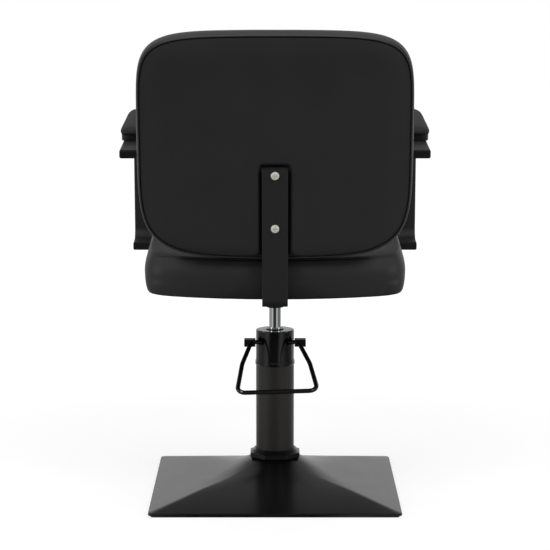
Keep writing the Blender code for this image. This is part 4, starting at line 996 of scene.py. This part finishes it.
def room_by_direction(tree, where):
    """The brightness in ROOM for a place or direction, and its coordinates."""
    split = add_node(tree, "ShaderNodeSeparateXYZ", {0: where})
    turn = add_node(tree, "ShaderNodeMath", {0: split.outputs["X"], 1: split.outputs["Y"]},
                    operation="ARCTAN2")
    share = add_node(tree, "ShaderNodeMapRange",
                     {"Value": turn.outputs[0], "From Min": -math.pi, "From Max": math.pi})
    room = add_node(tree, "ShaderNodeValToRGB", {"Fac": share.outputs["Result"]},
                    stops=[((degrees + 180.0) / 360.0, level) for degrees, level in ROOM])
    return room.outputs["Color"], split


def build_floor():
    """A white paper sweep that looks evenly lit to the camera and like the studio's floor in mirrors."""
    material, tree = new_material("matt_white_sweep")
    camera, shiny = ray_kinds(tree)
    where = add_node(tree, "ShaderNodeTexCoord").outputs["Object"]
    away = add_node(tree, "ShaderNodeVectorMath", {0: where}, operation="LENGTH").outputs["Value"]
    # The sweep is lit evenly far off; near the chair its own light drops so that the shadow shows.
    glow = add_node(tree, "ShaderNodeMapRange",
                    {"Value": away, "From Min": 0.5, "From Max": 2.2, "To Min": 0.80, "To Max": 1.0},
                    interpolation_type="SMOOTHSTEP").outputs["Result"]
    seen = add_node(tree, "ShaderNodeMath", {0: camera, 1: glow}, operation="MULTIPLY").outputs[0]
    light = add_node(tree, "ShaderNodeEmission", {"Color": WHITE, "Strength": seen})
    tint = add_node(tree, "ShaderNodeMix", {0: pattern(tree, 40.0, 3.0), 6: tone(WHITE[:3], 0.28),
                                            7: tone(WHITE[:3], 0.31)}, data_type="RGBA")
    matt = add_node(tree, "ShaderNodeBsdfDiffuse", {"Color": tint.outputs[2]})
    plain = add_node(tree, "ShaderNodeAddShader", {0: light.outputs[0], 1: matt.outputs[0]})
    room, _ = room_by_direction(tree, where)
    reach = PAPER[-1][0]
    share = add_node(tree, "ShaderNodeMath", {0: away, 1: reach}, operation="DIVIDE").outputs[0]
    paper = add_node(tree, "ShaderNodeValToRGB", {"Fac": share},
                     stops=[(far / reach, level) for far, level in PAPER]).outputs["Color"]
    level = add_node(tree, "ShaderNodeMath", {0: room, 1: paper}, operation="MAXIMUM").outputs[0]
    mirrored = add_node(tree, "ShaderNodeEmission", {"Color": WHITE, "Strength": level})
    mixed = add_node(tree, "ShaderNodeMixShader", {0: shiny, 1: plain.outputs[0], 2: mirrored.outputs[0]})
    add_node(tree, "ShaderNodeOutputMaterial", {"Surface": mixed.outputs[0]})
    bpy.ops.mesh.primitive_grid_add(x_subdivisions=8, y_subdivisions=8, size=FLOOR_SIZE,
                                    location=(0.0, 0.0, -FLOOR_DROP))
    floor = bpy.context.object
    floor.name = "studio_floor"
    floor.data.materials.append(material)


def build_world():
    """White for the camera, even for matt surfaces, and the studio's walls and ceiling for shiny ones."""
    world = bpy.data.worlds.new("white_studio")
    world.use_nodes = True
    tree = world.node_tree
    tree.nodes.clear()
    camera, shiny = ray_kinds(tree)
    way = add_node(tree, "ShaderNodeTexCoord").outputs["Generated"]
    room, split = room_by_direction(tree, way)
    least = add_node(tree, "ShaderNodeMath", {0: room, 1: ROOM_LEAST}, operation="MAXIMUM").outputs[0]
    sky = add_node(tree, "ShaderNodeValToRGB", {"Fac": split.outputs["Z"]}, stops=SKY).outputs["Color"]
    mirrored = add_node(tree, "ShaderNodeMath", {0: least, 1: sky}, operation="MULTIPLY").outputs[0]
    fill = studio().fill
    plain = add_node(tree, "ShaderNodeMix", {0: shiny, 2: fill, 3: mirrored}, data_type="FLOAT").outputs[0]
    strength = add_node(tree, "ShaderNodeMix", {0: camera, 2: plain, 3: 1.0}, data_type="FLOAT").outputs[0]
    back = add_node(tree, "ShaderNodeBackground", {"Color": WHITE, "Strength": strength})
    add_node(tree, "ShaderNodeOutputWorld", {"Surface": back.outputs[0]})
    bpy.context.scene.world = world


def add_softbox(name, at, target, width, height, watts, mirrored=True):
    """A lamp that the camera doesn't see."""
    light = bpy.data.lights.new(name, "AREA")
    light.shape = "RECTANGLE"
    light.size = width
    light.size_y = height
    light.energy = watts
    lamp = bpy.data.objects.new(name, light)
    lamp.location = at
    lamp.rotation_euler = (Vector(target) - Vector(at)).to_track_quat("-Z", "Y").to_euler()
    lamp.visible_camera = False
    lamp.visible_glossy = mirrored
    bpy.context.scene.collection.objects.link(lamp)


def build_lights():
    """One softbox overhead, two on each side and a panel on the floor."""
    s = studio()
    middle = (0.0, 0.0, 0.55)
    add_softbox("top_softbox", (0.0, 0.20, 2.75), (0.0, 0.0, 0.5), 2.2, 1.6, s.top_watts)
    for name, sign in (("left", 1.0), ("right", -1.0)):
        add_softbox(name + "_rear_softbox", (sign * 1.8, 2.3, 2.5), middle, 1.1, 1.1, s.rear_watts)
        add_softbox(name + "_side_softbox", (sign * 2.3, 0.5, 0.85), middle, 0.8, 0.9, s.side_watts)
    # The floor's own look stands for this panel in mirrors.
    add_softbox("low_softbox", (0.0, 1.3, 0.02), (0.0, 1.3, 1.0), 2.6, 1.4, s.low_watts, False)


def build_camera():
    """The photo's camera, behind the chair."""
    s = studio()
    data = bpy.data.cameras.new("camera")
    data.sensor_width = SENSOR
    data.lens = s.focal_pixels * SENSOR / PICTURE_WIDTH
    camera = bpy.data.objects.new("camera", data)
    camera.location = (0.0, s.camera_y, s.camera_z)
    camera.rotation_euler = (math.radians(90.0) - s.camera_pitch, 0.0, math.radians(180.0))
    bpy.context.scene.collection.objects.link(camera)
    bpy.context.scene.camera = camera


OPERATORS = (CHAIR_OT_stage, CHAIR_OT_frame, CHAIR_OT_pump, CHAIR_OT_fasteners, CHAIR_OT_seat,
             CHAIR_OT_backrest, CHAIR_OT_arm_pads, CHAIR_OT_spring)
GROUPS = {"chair_sizes": ChairSizes, "chair_colours": ChairColours, "chair_studio": ChairStudio}


class CHAIR_PT_looks(bpy.types.Panel):
    """Buttons and values of the chair's looks"""
    bl_label = "Hairdressing chair"
    bl_idname = "CHAIR_PT_looks"
    bl_space_type = "VIEW_3D"
    bl_region_type = "UI"
    bl_category = "Chair"

    def draw(self, context):
        for operator in OPERATORS:
            self.layout.operator(operator.bl_idname)
        for name, group in GROUPS.items():
            box = self.layout.box()
            for key in group.__annotations__:
                box.prop(getattr(context.scene, name), key)


def register():
    for group in GROUPS.values():
        bpy.utils.register_class(group)
    for name, group in GROUPS.items():
        setattr(bpy.types.Scene, name, PointerProperty(type=group))
    for part in OPERATORS + (CHAIR_PT_looks,):
        bpy.utils.register_class(part)


def unregister():
    for part in (CHAIR_PT_looks,) + OPERATORS[::-1]:
        bpy.utils.unregister_class(part)
    for name, group in GROUPS.items():
        delattr(bpy.types.Scene, name)
        bpy.utils.unregister_class(group)


def main():
    register()
    bpy.ops.chair.stage()
    bpy.ops.chair.frame()
    bpy.ops.chair.pump()
    bpy.ops.chair.fasteners()
    bpy.ops.chair.seat()
    bpy.ops.chair.backrest()
    bpy.ops.chair.arm_pads()
    bpy.ops.chair.spring()


if __name__ == "__main__":
    main()
